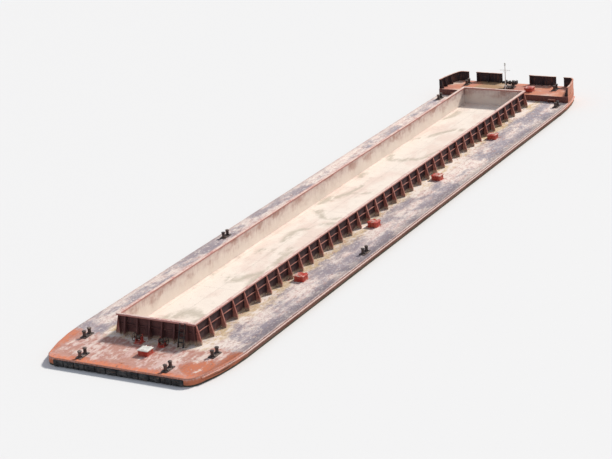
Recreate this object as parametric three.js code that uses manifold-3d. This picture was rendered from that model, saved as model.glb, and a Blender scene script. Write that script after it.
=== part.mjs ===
// A non-propelled river barge of the deck type, at half its real size.
// A flat hull with raked ends carries a long open cargo bin between wide side decks,
// a low forecastle with a bulwark, and the mooring, coupling and anchor gear.
import * as THREE from "three";
import { mergeVertices } from "three/addons/utils/BufferGeometryUtils.js";
import Module from "manifold-3d";

const wasm = await Module();
wasm.setup();

// Everything below is in real metres. The group is scaled to millimetres at 1:2.
// X runs forward, Y to port and Z up from the bottom plating; X is 0 halfway along the hull.
const modelScale = 1 / 2;
const millimetresPerMetre = 1000 * modelScale;
const seatGap = 0.0006; // between pieces that rest on each other
const weld = 0.01; // how far the parts of one welded piece run into each other
const shaftPlay = 0.0016; // added to a shaft's radius in its bearing

const hull = { length: 72, beam: 14, depth: 2.3 };
const deck = hull.depth;
const stern = -hull.length / 2;
const bow = hull.length / 2;

// Sections of the hull: distance from the nearer end, half width, height of the bottom, bilge radius
const sternSections = [
  { from: 0, half: 5.4, bottom: 1.3, bilge: 0.1 },
  { from: 0.12, half: 5.75, bottom: 1.27, bilge: 0.14 },
  { from: 0.4, half: 6.02, bottom: 1.21, bilge: 0.18 },
  { from: 0.8, half: 6.2, bottom: 1.12, bilge: 0.22 },
  { from: 2.4, half: 6.66, bottom: 0.72, bilge: 0.3 },
  { from: 4, half: 6.9, bottom: 0.34, bilge: 0.35 },
  { from: 5.4, half: 7, bottom: 0.09, bilge: 0.35 },
  { from: 6.6, half: 7, bottom: 0, bilge: 0.35 },
];
const bowSections = [
  { from: 0, half: 5.75, bottom: 1.55, bilge: 0.1 },
  { from: 0.12, half: 6.02, bottom: 1.5, bilge: 0.14 },
  { from: 0.4, half: 6.24, bottom: 1.41, bilge: 0.18 },
  { from: 0.8, half: 6.4, bottom: 1.27, bilge: 0.22 },
  { from: 2.4, half: 6.75, bottom: 0.8, bilge: 0.3 },
  { from: 4.2, half: 6.93, bottom: 0.38, bilge: 0.35 },
  { from: 6, half: 7, bottom: 0.09, bilge: 0.35 },
  { from: 7.4, half: 7, bottom: 0, bilge: 0.35 },
];
const bilgeSteps = 3;

const strake = { proud: 0.12, low: 2.06, high: 2.22, chamfer: 0.03, aft: 0.8, fore: 71.2 };
const fender = { proud: 0.15, low: 1.76, high: 2.2, corner: 0.1 };
const skeg = { side: 3.6, thick: 0.12, aft: 1.1, fore: 6.2, clear: 0.04, footAft: 0.25, footFore: 0.6 };

const bin = { aft: 5.2, fore: 66.1, half: 3.1, wall: 0.04, height: 1.6 };
const binTop = deck + bin.height;
const binRail = { inside: 0.05, outside: 0.2, deep: 0.14 };
const stringer = { at: 0.82, proud: 0.1, thick: 0.05 };
const rib = { pitch: 1.65, thick: 0.05, foot: 0.48, head: 0.14, toe: 0.14, endPitch: 1.03, endCount: 6 };
const ladder = { side: -2.3, width: 0.42, out: 0.62, stile: 0.06, rungs: 4, tread: 0.14, thick: 0.04 };

const forecastle = { aft: 68.3, height: 0.6 };
const foreDeck = deck + forecastle.height;
const footStep = { side: 5.2, half: 0.35, run: 0.3, rise: 0.3, plate: 0.06 };
const bulwark = { height: 0.95, plate: 0.04, inset: 0.03, rail: 0.16, railOut: 0.03, railDeep: 0.06 };
const bulwarkEnds = { aft: 68.35, fore: 71.88, fairleadOuter: 5.1, fairleadInner: 4.3, centre: 1.45 };
const bulwarkStay = { foot: 0.42, head: 0.1, thick: 0.04, fromEnd: 0.2, along: [68.55, 69.3, 70.3] };

const bollard = { spread: 0.62, base: 1.15, width: 0.5, plate: 0.05, radius: 0.12, height: 0.5 };
const bollardCap = { radius: 0.16, deep: 0.08, edge: 0.03 };
const bollardPlaces = [
  { name: "quarter", at: 4.1, side: 5.3, base: deck },
  { name: "stern", at: 1.0, side: 3.5, base: deck },
  { name: "mid", at: 25, side: 6.3, base: deck },
  { name: "fore", at: 66.9, side: 6.2, base: deck },
  { name: "bow", at: 70.6, side: 4.7, base: foreDeck },
];

const sideHatch = { first: 18.4, pitch: 12.4, count: 4, side: 4.25 };
const endHatches = [
  { name: "stern", at: 2.7, side: -0.6, base: deck },
  { name: "forepeak", at: 69.5, side: -2.4, base: foreDeck },
];
const hatch = { size: 0.8, wall: 0.05, height: 0.36, lid: 0.06, lip: 0.04 };
const handle = { from: 0.1, bar: 0.03, half: 0.12, high: 0.07 };
const hinge = { radius: 0.035, ahead: 0.09, leaf: 0.03, play: 0.012, side: 0.2 };
const hingeEar = { low: 0.16, high: 0.07, toe: 0.05 };
const hingeStrap = { run: 0.3, low: 0.035, high: 0.012 };

const windlass = { at: 70.3, shaftHigh: 0.52, shaft: 0.06, half: 0.42, runGap: 0.02 };
const windlassCheek = { wide: 0.34, top: 0.14, thick: 0.09 };
const windlassBed = { half: 0.42, beyond: 0.1, thick: 0.06 };
const chainWheel = { rim: 0.22, valley: 0.15, half: 0.08, flank: 0.04 };
const brakeDrum = { radius: 0.26, wide: 0.05, flank: 0.05, barrel: 0.1 };
const warpingEnd = { rim: 0.16, waist: 0.11, near: 0.08, far: 0.2, lip: 0.27, long: 0.3 };

const winch = { at: 4.25, side: 0.95, shaftHigh: 0.4, shaft: 0.035, half: 0.22, runGap: 0.015 };
const winchCheek = { wide: 0.24, top: 0.1, thick: 0.05 };
const winchBed = { half: 0.3, beyond: 0.08, thick: 0.05 };
const winchDrum = { flange: 0.17, thick: 0.02, barrel: 0.08, stub: 0.12 };
const handWheel = { radius: 0.3, rim: 0.03, spoke: 0.02, at: 0.1 };

const mast = { at: 69.2, pivotHigh: 0.34, tall: 2.5, radius: 0.045, pin: 0.03, pinBeyond: 0.03 };
const mastHeel = { half: 0.07, wide: 0.22, down: 0.2, up: 0.16 };
const mastCheek = { wide: 0.16, top: 0.1, thick: 0.04 };
const mastBed = { half: 0.2, beyond: 0.05, thick: 0.05 };
const mastLamp = { low: 0.3, high: 0.08, plate: 0.04, flange: 0.09, radius: 0.07, cap: 0.04 };
const mastYard = { radius: 0.02, half: 0.55, down: 0.75 };

const roller = { reach: 0.55, half: 0.13, cheek: 0.06, high: 0.3, bed: 0.04, radius: 0.11 };
const rollerAxle = { inboard: 0.13, high: 0.18, play: 0.01 };
const anchor = { shank: 0.1, shankHigh: 0.24, crown: 1, crownDeep: 0.12, back: 0.03 };
const fluke = { from: 0.12, foot: 0.44, tip: 0.32, high: 0.46, low: 0.05, back: 0.01 };

const paintTable = {
  hull: [0xa8563d, 0.75, 0.3],
  foreDeck: [0xc8775a, 0.85, 0.1],
  bin: [0x8a4238, 0.8, 0.2],
  fender: [0x1b1a1a, 0.9, 0],
  black: [0x242222, 0.7, 0.3],
  red: [0xb0362c, 0.6, 0.2],
  white: [0xd8d5cc, 0.6, 0.2],
};
const paints = Object.fromEntries(
  Object.entries(paintTable).map(([name, [color, roughness, metalness]]) => [
    name,
    new THREE.MeshStandardMaterial({ name, color, roughness, metalness }),
  ]),
);

const barge = new THREE.Group();
barge.name = "river_barge";
barge.scale.setScalar(millimetresPerMetre);

function add(name, paint, shape) {
  const geometry = shape instanceof THREE.BufferGeometry ? shape : geometryOf(shape);
  const mesh = new THREE.Mesh(geometry, paints[paint]);
  mesh.name = name;
  barge.add(mesh);
}

// A closed geometry as a solid that can be joined and cut
function solidOf(geometry) {
  const bare = geometry.index ? geometry.toNonIndexed() : geometry.clone();
  bare.deleteAttribute("normal");
  bare.deleteAttribute("uv");
  const merged = mergeVertices(bare, 1e-6);
  return new wasm.Manifold(
    new wasm.Mesh({
      numProp: 3,
      vertProperties: merged.attributes.position.array,
      triVerts: new Uint32Array(merged.index.array),
    }),
  );
}

// A solid's surface, with the points that a join leaves inside its flats taken out
function geometryOf(solid) {
  const mesh = solid.asOriginal().simplify(1e-5).getMesh();
  return new THREE.BufferGeometry()
    .setAttribute("position", new THREE.BufferAttribute(new Float32Array(mesh.vertProperties), 3))
    .setIndex(new THREE.BufferAttribute(new Uint32Array(mesh.triVerts), 1));
}

const joined = (...geometries) => geometries.map(solidOf).reduce((whole, piece) => whole.add(piece));

// A box between two corners
function block([x0, y0, z0], [x1, y1, z1]) {
  return new THREE.BoxGeometry(x1 - x0, y1 - y0, z1 - z0).translate(
    (x0 + x1) / 2,
    (y0 + y1) / 2,
    (z0 + z1) / 2,
  );
}

// An outline extruded along one axis. Its points are [y, z] along x, [x, z] along y and [x, y] along z.
function extruded(axis, points, from, to) {
  const outline = new THREE.Shape(points.map(([a, b]) => new THREE.Vector2(a, b)));
  const geometry = new THREE.ExtrudeGeometry(outline, { depth: to - from, bevelEnabled: false });
  const turn = new THREE.Matrix4();
  if (axis === "x") turn.set(0, 0, 1, from, 1, 0, 0, 0, 0, 1, 0, 0, 0, 0, 0, 1);
  if (axis === "y") turn.set(1, 0, 0, 0, 0, 0, -1, to, 0, 1, 0, 0, 0, 0, 0, 1);
  if (axis === "z") turn.makeTranslation(0, 0, from);
  return geometry.applyMatrix4(turn);
}

// A turned piece from [radius, height] pairs that start and end on its axis
function turned(profile, sides, axis = "z") {
  const geometry = new THREE.LatheGeometry(
    profile.map(([r, h]) => new THREE.Vector2(r, h)),
    sides,
  );
  if (axis === "z") geometry.rotateX(Math.PI / 2);
  return geometry;
}

const rod = (radius, from, to, sides, axis) =>
  turned([[0, from], [radius, from], [radius, to], [0, to]], sides, axis);

// A profile that is the same on both sides of its middle, from its upper half
const bothWays = (upper) => [
  ...upper.filter(([, h]) => h > 0).map(([r, h]) => [r, -h]).reverse(),
  ...upper,
];

// The hull's half width at a distance from the transom
function halfWidth(at) {
  const fromBow = hull.length - at;
  const [table, from] = at < hull.length / 2 ? [sternSections, at] : [bowSections, fromBow];
  const after = table.findIndex((section) => section.from >= from);
  if (after < 0) return hull.beam / 2;
  if (after === 0) return table[0].half;
  const [a, b] = [table[after - 1], table[after]];
  return a.half + ((b.half - a.half) * (from - a.from)) / (b.from - a.from);
}

// Distances from the transom of every section between two others
function sectionsBetween(aft, fore) {
  const all = [
    ...sternSections.map((section) => section.from),
    ...bowSections.map((section) => hull.length - section.from),
  ];
  return [aft, ...all.filter((at) => at > aft + 1e-6 && at < fore - 1e-6).sort((a, b) => a - b), fore];
}

// Plan points of the hull's edge on one side, moved inboard
const edge = (aft, fore, side, inboard) =>
  sectionsBetween(aft, fore).map((at) => [stern + at, side * (halfWidth(at) - inboard)]);

// A closed skin over rings of equal count, with flat ends that are fans
function lofted(rings) {
  const count = rings[0].length;
  const positions = rings.flat(2);
  const faces = [];
  rings.slice(1).forEach((_, row) => {
    for (let i = 0; i < count; i++) {
      const next = (i + 1) % count;
      const [a, b] = [row * count + i, row * count + next];
      faces.push(a, a + count, b, b, a + count, b + count);
    }
  });
  const last = (rings.length - 1) * count;
  for (let i = 1; i < count - 1; i++) {
    faces.push(0, i, i + 1);
    faces.push(last, last + i + 1, last + i);
  }
  return new THREE.BufferGeometry()
    .setAttribute("position", new THREE.BufferAttribute(new Float32Array(positions), 3))
    .setIndex(faces);
}

function hullRing(x, { half, bottom, bilge }) {
  const port = [[x, half, deck]];
  for (let step = 0; step <= bilgeSteps; step++) {
    const turn = (step / bilgeSteps) * (Math.PI / 2);
    port.push([x, half - bilge * (1 - Math.cos(turn)), bottom + bilge * (1 - Math.sin(turn))]);
  }
  const starboard = port.map(([at, y, z]) => [at, -y, z]).reverse();
  return [...port, ...starboard];
}

function makeHull() {
  const sternRings = sternSections.map((section) => hullRing(stern + section.from, section));
  const bowRings = bowSections.map((section) => hullRing(bow - section.from, section)).reverse();
  add("hull_stern", "hull", lofted(sternRings));
  add("hull_midbody", "hull", lofted([sternRings.at(-1), bowRings[0]]));
  add("hull_bow", "hull", lofted(bowRings));
}

const sides = [
  { name: "port", side: 1 },
  { name: "starboard", side: -1 },
];

function makeFenders() {
  for (const { name, side } of sides) {
    const rings = sectionsBetween(strake.aft, strake.fore).map((at) => {
      const inner = halfWidth(at) + 2 * seatGap;
      const outer = inner + strake.proud;
      const x = stern + at;
      const ring = [
        [x, outer, strake.high - strake.chamfer],
        [x, outer, strake.low + strake.chamfer],
        [x, inner, strake.low],
        [x, inner, strake.high],
      ];
      return side > 0 ? ring : ring.map(([a, y, z]) => [a, -y, z]).reverse();
    });
    add(`rubbing_strake_${name}`, "hull", lofted(rings));
  }
  const { proud, low, high, corner } = fender;
  const sternHalf = sternSections[0].half - corner;
  const bowHalf = bowSections[0].half - corner;
  add("stern_push_fender", "fender", block([stern - proud, -sternHalf, low], [stern, sternHalf, high]));
  add("bow_fender", "fender", block([bow, -bowHalf, low], [bow + proud, bowHalf, high]));
}

// Two fins under the raked stern keep the barge on its course
function makeSkegs() {
  const bottomAt = (at) => {
    const after = sternSections.findIndex((section) => section.from >= at);
    const [a, b] = [sternSections[after - 1], sternSections[after]];
    return a.bottom + ((b.bottom - a.bottom) * (at - a.from)) / (b.from - a.from);
  };
  const top = sectionsBetween(skeg.aft, skeg.fore)
    .map((at) => [stern + at, bottomAt(at) - 2 * seatGap])
    .reverse();
  const outline = [
    [stern + skeg.aft + skeg.footAft, skeg.clear],
    [stern + skeg.fore - skeg.footFore, skeg.clear],
    ...top,
  ];
  for (const { name, side } of sides) {
    const y = side * skeg.side;
    add(`skeg_${name}`, "hull", extruded("y", outline, y - skeg.thick / 2, y + skeg.thick / 2));
  }
}

// The section of a bin wall: a plate with a rail on top and a stringer outside.
// Distances run outward from the plate's inner face.
function binSection(inner) {
  const face = bin.wall;
  const railLow = binTop - binRail.deep;
  const stringerLow = deck + stringer.at;
  return [
    [inner, deck],
    [inner + face, deck],
    [inner + face, stringerLow],
    [inner + face + stringer.proud, stringerLow],
    [inner + face + stringer.proud, stringerLow + stringer.thick],
    [inner + face, stringerLow + stringer.thick],
    [inner + face, railLow],
    [inner + binRail.outside, railLow],
    [inner + binRail.outside, binTop],
    [inner - binRail.inside, binTop],
    [inner - binRail.inside, railLow],
    [inner, railLow],
  ];
}

function ribOutline(inner) {
  const face = inner + bin.wall / 2;
  const top = binTop - binRail.deep + 2 * weld;
  return [
    [face, deck],
    [inner + rib.foot, deck],
    [inner + rib.foot, deck + rib.toe],
    [inner + rib.head, top],
    [face, top],
  ];
}

// Points of [y, z] for either side, kept anticlockwise
const onSide = (side, points) => (side > 0 ? points : points.map(([y, z]) => [-y, z]).reverse());

const evenly = (from, to, count) =>
  Array.from({ length: count }, (_, i) => from + ((to - from) * i) / (count - 1));

function makeBin() {
  const aft = stern + bin.aft;
  const fore = stern + bin.fore;
  const outer = bin.wall + rib.thick;
  const corner = binRail.outside - bin.wall; // the side walls run on past the end walls
  const sideCount = Math.round((fore - aft - 2 * outer) / rib.pitch) + 1;
  for (const { name, side } of sides) {
    const wall = extruded("x", onSide(side, binSection(bin.half)), aft - corner, fore + corner);
    const ribs = evenly(aft + outer, fore - outer, sideCount).map((x) =>
      extruded("x", onSide(side, ribOutline(bin.half)), x - rib.thick / 2, x + rib.thick / 2),
    );
    add(`bin_wall_${name}`, "bin", joined(wall, ...ribs));
  }
  const ends = [
    { name: "aft", face: aft + bin.wall, out: -1 },
    { name: "fore", face: fore - bin.wall, out: 1 },
  ];
  const reach = bin.half - seatGap;
  const railReach = reach - binRail.inside;
  const plateTop = binTop - binRail.deep - 2 * seatGap;
  const plate = [[0, deck], [bin.wall, deck], [bin.wall, plateTop], [0, plateTop]];
  const ribReach = (rib.endPitch * (rib.endCount - 1)) / 2;
  for (const { name, face, out } of ends) {
    const place = (points) => {
      const placed = points.map(([away, z]) => [face + out * away, z]);
      return out > 0 ? placed : placed.reverse();
    };
    const wall = extruded("y", place(plate), -reach, reach);
    const railed = extruded("y", place(binSection(0)), -railReach, railReach);
    const ribs = evenly(-ribReach, ribReach, rib.endCount).map((y) =>
      extruded("y", place(ribOutline(0)), y - rib.thick / 2, y + rib.thick / 2),
    );
    add(`bin_wall_${name}`, "bin", joined(wall, railed, ...ribs));
  }
}

// A steep ladder leans against the aft wall of the bin
function makeLadder() {
  const { side, width, out, stile, rungs, tread, thick } = ladder;
  const head = stern + bin.aft + bin.wall - binRail.outside - seatGap;
  const foot = head - out;
  const top = binTop - weld;
  const outline = [[foot, deck], [foot + 2 * stile, deck], [head, top], [head - stile, top]];
  const stiles = [-1, 1].map((end) => {
    const y = side + (end * width) / 2;
    return extruded("y", outline, y - stile / 2, y + stile / 2);
  });
  const treads = Array.from({ length: rungs }, (_, i) => {
    const share = (i + 1) / (rungs + 1);
    const x = foot + stile + (head - stile / 2 - foot - stile) * share;
    const z = deck + bin.height * share;
    return block(
      [x - tread / 2, side - width / 2, z - thick / 2],
      [x + tread / 2, side + width / 2, z + thick / 2],
    );
  });
  add("bin_ladder", "black", joined(...stiles, ...treads));
}

// The raised deck at the bow, with a foot step on each side of its aft face
function makeForecastle() {
  const outline = [
    ...edge(forecastle.aft, hull.length, -1, 0),
    ...edge(forecastle.aft, hull.length, 1, 0).reverse(),
  ];
  const { side: out, half, run, rise, plate } = footStep;
  const back = stern + forecastle.aft + weld;
  const face = stern + forecastle.aft - run;
  const steps = sides.flatMap(({ side }) => {
    const y = side * out;
    const cheeks = [y - half, y + half - plate].map((from) =>
      block([face, from, deck], [back, from + plate, deck + rise]),
    );
    return [block([face, y - half, deck + rise - plate], [back, y + half, deck + rise]), ...cheeks];
  });
  add("forecastle", "foreDeck", joined(extruded("z", outline, deck, foreDeck), ...steps));
}

// A path of plan points moved to its left by a distance
function offsetPath(path, distance) {
  return path.map((point, i) => {
    const before = path[Math.max(i - 1, 0)];
    const after = path[Math.min(i + 1, path.length - 1)];
    const [dx, dy] = [after[0] - before[0], after[1] - before[1]];
    const long = Math.hypot(dx, dy);
    return [point[0] - (dy / long) * distance, point[1] + (dx / long) * distance];
  });
}

const band = (path, from, to, low, high) =>
  extruded("z", [...offsetPath(path, to), ...offsetPath(path, from).reverse()].reverse(), low, high);

// A stay is a bracket square to the path, on its left
function stayAt([x, y], [dx, dy], base) {
  const top = base + bulwark.height - bulwark.railDeep / 2;
  const outline = [
    [bulwark.plate / 2, base],
    [bulwarkStay.foot, base],
    [bulwarkStay.head, top],
    [bulwark.plate / 2, top],
  ];
  const bracket = extruded("x", outline, -bulwarkStay.thick / 2, bulwarkStay.thick / 2);
  return bracket.rotateZ(Math.atan2(dy, dx)).translate(x, y, 0);
}

// A bulwark stands on the path's left: plate, capping rail and stays
function bulwarkAlong(path, stays) {
  const top = foreDeck + bulwark.height;
  const { plate, rail, railOut, railDeep } = bulwark;
  return joined(
    band(path, 0, plate, foreDeck, top - weld),
    band(path, -railOut, rail - railOut, top - railDeep, top),
    ...stays.map(([point, direction]) => stayAt(point, direction, foreDeck)),
  );
}

function makeBulwarks() {
  const { inset } = bulwark;
  const face = bow - inset;
  const { aft, fore, fairleadOuter, fairleadInner, centre } = bulwarkEnds;
  const { fromEnd, along } = bulwarkStay;
  for (const { name, side } of sides) {
    // Walked so that inboard is always on the left: forward on the starboard side, across to port
    const order = (path) => (side < 0 ? path : [...path].reverse());
    const across = order([[face, side * fairleadInner], [face, side * centre]]);
    const acrossStays = [fairleadInner - fromEnd, (fairleadInner + centre) / 2, centre + fromEnd];
    add(
      `bow_bulwark_${name}`,
      "hull",
      bulwarkAlong(across, acrossStays.map((y) => [[face, side * y], [0, 1]])),
    );
    const around = [
      ...edge(aft, fore, side, inset),
      [face, side * bowSections[0].half],
      [face, side * fairleadOuter],
    ];
    const aroundStays = along.map((at) => [[stern + at, side * (halfWidth(at) - inset)], [-side, 0]]);
    add(`corner_bulwark_${name}`, "hull", bulwarkAlong(order(around), aroundStays));
  }
}

// Two capped posts on one base plate
function makeBollards() {
  const { spread, base, width, plate, radius, height } = bollard;
  const cap = bollardCap;
  const profile = [
    [0, 0],
    [radius, 0],
    [radius, height - cap.deep - cap.radius + radius],
    [cap.radius, height - cap.deep],
    [cap.radius, height - cap.edge],
    [cap.radius - cap.edge, height],
    [0, height],
  ];
  const posts = [-1, 1].map((end) => turned(profile, 12).translate((end * spread) / 2, 0, 0));
  const pad = block([-base / 2, -width / 2, 0], [base / 2, width / 2, plate]);
  const solid = joined(pad, ...posts);
  for (const place of bollardPlaces) {
    for (const { name, side } of sides) {
      const geometry = geometryOf(solid).translate(stern + place.at, side * place.side, place.base);
      add(`bollard_${place.name}_${name}`, "black", geometry);
    }
  }
}

const hatchPlaces = [
  ...sides.flatMap(({ name, side }) =>
    Array.from({ length: sideHatch.count }, (_, i) => ({
      name: `${name}_${i + 1}`,
      at: sideHatch.first + sideHatch.pitch * i,
      side: side * sideHatch.side,
      base: deck,
    })),
  ),
  ...endHatches,
];

// A square coaming with hinge ears on its forward side, and a lid that turns about them
function makeHatches() {
  const half = hatch.size / 2;
  const under = hatch.height + seatGap;
  const top = under + hatch.lid;
  const [axisX, axisZ] = [half + hinge.ahead, under + hatch.lid / 2];
  const knuckles = [-hinge.side, hinge.side];
  const well = half - hatch.wall;
  const box = solidOf(block([-half, -half, 0], [half, half, hatch.height]));
  const open = box.subtract(solidOf(block([-well, -well, -hatch.size], [well, well, hatch.size])));
  const earOutline = [
    [half - weld, hatch.height - hingeEar.low],
    [half + hingeEar.toe, hatch.height - hingeEar.low],
    [axisX + hinge.radius, axisZ - hinge.radius],
    [axisX + hinge.radius, axisZ + hinge.radius],
    [axisX - hinge.radius, axisZ + hinge.radius],
    [axisX - hinge.radius, hatch.height - hingeEar.high],
    [half - weld, hatch.height - hingeEar.high],
  ];
  const ears = knuckles.flatMap((y) =>
    [-1, 1].map((end) => {
      const inner = y + end * (hinge.leaf + hinge.play);
      const outer = inner + end * hinge.leaf;
      return extruded("y", earOutline, Math.min(inner, outer), Math.max(inner, outer));
    }),
  );
  const coaming = ears.map(solidOf).reduce((whole, piece) => whole.add(piece), open);

  const rim = half + hatch.lip;
  const plate = block([-rim, -rim, under], [half - weld, rim, top]);
  const grip = handle.from - half;
  const posts = [-handle.half, handle.half - handle.bar].map((y) =>
    block([grip, y, top - weld], [grip + handle.bar, y + handle.bar, top + handle.high - weld]),
  );
  const bar = block(
    [grip, -handle.half, top + handle.high - handle.bar],
    [grip + handle.bar, handle.half, top + handle.high],
  );
  const straps = knuckles.flatMap((y) => [
    block(
      [half - hingeStrap.run, y - hinge.leaf, top - hingeStrap.low],
      [axisX, y + hinge.leaf, top + hingeStrap.high],
    ),
    rod(hinge.radius, y - hinge.leaf, y + hinge.leaf, 12, "y").translate(axisX, 0, axisZ),
  ]);
  const lid = joined(plate, ...posts, bar, ...straps);
  for (const { name, at, side, base } of hatchPlaces) {
    const place = (solid) => geometryOf(solid).translate(stern + at, side, base);
    add(`hatch_coaming_${name}`, "red", place(coaming));
    add(`hatch_lid_${name}`, "red", place(lid));
  }
}

// A bearing cheek with a hole for the shaft, as an outline extruded across the barge
function cheekAt({ wide, top, thick }, high, hole, y) {
  const outline = new THREE.Shape();
  const shoulder = 0.2; // how far the rounded head runs down past the shaft, in radians
  outline.moveTo(-wide, 0);
  outline.lineTo(wide, 0);
  outline.lineTo(top, high - top);
  outline.absarc(0, high, top, -shoulder, Math.PI + shoulder, false);
  outline.lineTo(-top, high - top);
  const bore = new THREE.Path();
  bore.absarc(0, high, hole, 0, Math.PI * 2, true);
  outline.holes.push(bore);
  const settings = { depth: thick, bevelEnabled: false, curveSegments: 12 };
  return new THREE.ExtrudeGeometry(outline, settings).rotateX(Math.PI / 2).translate(0, y + thick / 2, 0);
}

// A bed plate with a bearing cheek at each end of the shaft
function standOf(cheek, bed, high, hole, half) {
  const reach = half + bed.beyond;
  return joined(
    block([-bed.half, -reach, 0], [bed.half, reach, bed.thick]),
    cheekAt(cheek, high, hole, -half),
    cheekAt(cheek, high, hole, half),
  );
}

// The anchor windlass: a cross shaft with a chain wheel, two brake drums and warping ends
function makeWindlass() {
  const { at, shaftHigh, shaft, half, runGap } = windlass;
  const stand = standOf(windlassCheek, windlassBed, shaftHigh, shaft + shaftPlay, half);
  add("windlass_stand", "black", geometryOf(stand).translate(stern + at, 0, foreDeck));
  const inner = half - windlassCheek.thick / 2 - runGap;
  const end = half + windlassCheek.thick / 2 + runGap;
  const { barrel } = brakeDrum;
  const profile = bothWays([
    [chainWheel.valley, 0],
    [chainWheel.rim, chainWheel.half],
    [barrel, chainWheel.half + chainWheel.flank],
    [barrel, inner - brakeDrum.wide - brakeDrum.flank],
    [brakeDrum.radius, inner - brakeDrum.wide],
    [brakeDrum.radius, inner],
    [shaft, inner],
    [shaft, end],
    [warpingEnd.rim, end],
    [warpingEnd.waist, end + warpingEnd.near],
    [warpingEnd.waist, end + warpingEnd.far],
    [warpingEnd.rim, end + warpingEnd.lip],
    [warpingEnd.rim, end + warpingEnd.long],
    [0, end + warpingEnd.long],
  ]);
  add("windlass_drum", "black", turned(profile, 24, "y").translate(stern + at, 0, foreDeck + shaftHigh));
}

// Two hand winches on the stern tighten the coupling wires
function makeWinches() {
  const { at, side: out, shaftHigh, shaft, half, runGap } = winch;
  const inner = half - winchCheek.thick / 2 - runGap;
  const end = half + winchCheek.thick / 2 + runGap;
  const wheelAt = end + handWheel.at;
  const profile = [
    [0, -end],
    [shaft, -end],
    [shaft, -inner],
    [winchDrum.flange, -inner],
    [winchDrum.flange, winchDrum.thick - inner],
    [winchDrum.barrel, winchDrum.thick - inner],
    [winchDrum.barrel, inner - winchDrum.thick],
    [winchDrum.flange, inner - winchDrum.thick],
    [winchDrum.flange, inner],
    [shaft, inner],
    [shaft, end + winchDrum.stub],
    [0, end + winchDrum.stub],
  ];
  for (const { name, side } of sides) {
    const stand = standOf(winchCheek, winchBed, shaftHigh, shaft + shaftPlay, half);
    const place = (solid, up) => geometryOf(solid).translate(stern + at, side * out, deck + up);
    add(`coupling_winch_${name}`, "red", place(stand, 0));
    const rim = new THREE.TorusGeometry(handWheel.radius, handWheel.rim, 6, 20)
      .rotateX(Math.PI / 2)
      .translate(0, wheelAt, 0);
    const spokes = [0, 1].map((i) =>
      rod(handWheel.spoke, -handWheel.radius, handWheel.radius, 6, "y")
        .rotateX(Math.PI / 2)
        .rotateY((i * Math.PI) / 2)
        .translate(0, wheelAt, 0),
    );
    const pieces = [turned(profile, 24, "y"), rim, ...spokes];
    if (side < 0) pieces.forEach((geometry) => geometry.rotateZ(Math.PI));
    add(`winch_drum_${name}`, "black", place(joined(...pieces), shaftHigh));
  }
}

// The signal mast stands in a tabernacle and folds aft over the deck
function makeMast() {
  const { at, pivotHigh, tall, radius, pin, pinBeyond } = mast;
  const inner = mastHeel.wide / 2 + 4 * seatGap;
  const half = inner + mastCheek.thick / 2;
  const bed = { ...mastBed, beyond: mastBed.beyond + mastCheek.thick / 2 };
  const stand = standOf(mastCheek, bed, pivotHigh, pin + shaftPlay, half);
  add("mast_tabernacle", "black", geometryOf(stand).translate(stern + at, 0, foreDeck));
  const heel = block(
    [-mastHeel.half, -mastHeel.wide / 2, -mastHeel.down],
    [mastHeel.half, mastHeel.wide / 2, mastHeel.up],
  );
  const { low, high, plate, flange, radius: lamp, cap } = mastLamp;
  const pole = turned(
    [
      [0, mastHeel.up - 2 * weld],
      [radius, mastHeel.up - 2 * weld],
      [radius * 0.8, tall - low],
      [flange, tall - low],
      [flange, tall - low + plate],
      [lamp, tall - low + plate],
      [lamp, tall - high],
      [flange, tall - high],
      [cap, tall],
      [0, tall],
    ],
    12,
  );
  const pinReach = inner + mastCheek.thick + pinBeyond;
  const pins = rod(pin, -pinReach, pinReach, 24, "y");
  const yard = rod(mastYard.radius, -mastYard.half, mastYard.half, 8, "y");
  yard.translate(0, 0, tall - mastYard.down);
  const all = joined(heel, pole, pins, yard);
  add("signal_mast", "white", geometryOf(all).translate(stern + at, 0, foreDeck + pivotHigh));
}

// The anchor stands on the bow fender against the plating, its shank in line with a roller
function makeAnchor() {
  const aft = bow - roller.reach;
  const side = roller.half + roller.cheek;
  const cheeks = [-side, roller.half].map((from) =>
    block([aft, from, foreDeck], [bow, from + roller.cheek, foreDeck + roller.high]),
  );
  const bed = block([aft, -side, foreDeck], [bow, side, foreDeck + roller.bed]);
  const reach = roller.half + rollerAxle.play;
  const wheel = rod(roller.radius, -reach, reach, 16, "y");
  wheel.translate(bow - rollerAxle.inboard, 0, foreDeck + rollerAxle.high);
  add("anchor_roller", "black", joined(bed, ...cheeks, wheel));

  const base = fender.high + seatGap;
  const inner = bow + seatGap;
  const outer = bow + fender.proud;
  const shankHalf = anchor.shank / 2;
  const crownHalf = anchor.crown / 2;
  const shankTop = foreDeck + anchor.shankHigh;
  const crownTop = base + anchor.crownDeep;
  const shank = block([inner, -shankHalf, base], [outer - anchor.back, shankHalf, shankTop]);
  const crown = block([inner, -crownHalf, base], [outer, crownHalf, crownTop]);
  const flukes = sides.map(({ side: way }) => {
    const outline = onSide(way, [
      [fluke.from, base + fluke.low],
      [fluke.foot, base + fluke.low],
      [fluke.tip, crownTop + fluke.high],
    ]);
    return extruded("x", outline, inner, outer - fluke.back);
  });
  add("anchor", "black", joined(shank, crown, ...flukes));
}

makeHull();
makeFenders();
makeSkegs();
makeBin();
makeLadder();
makeForecastle();
makeBulwarks();
makeBollards();
makeHatches();
makeWindlass();
makeWinches();
makeMast();
makeAnchor();

export default barge;
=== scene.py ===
from math import cos, pi, radians, sin

import bpy
from mathutils import Matrix, Vector


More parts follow.
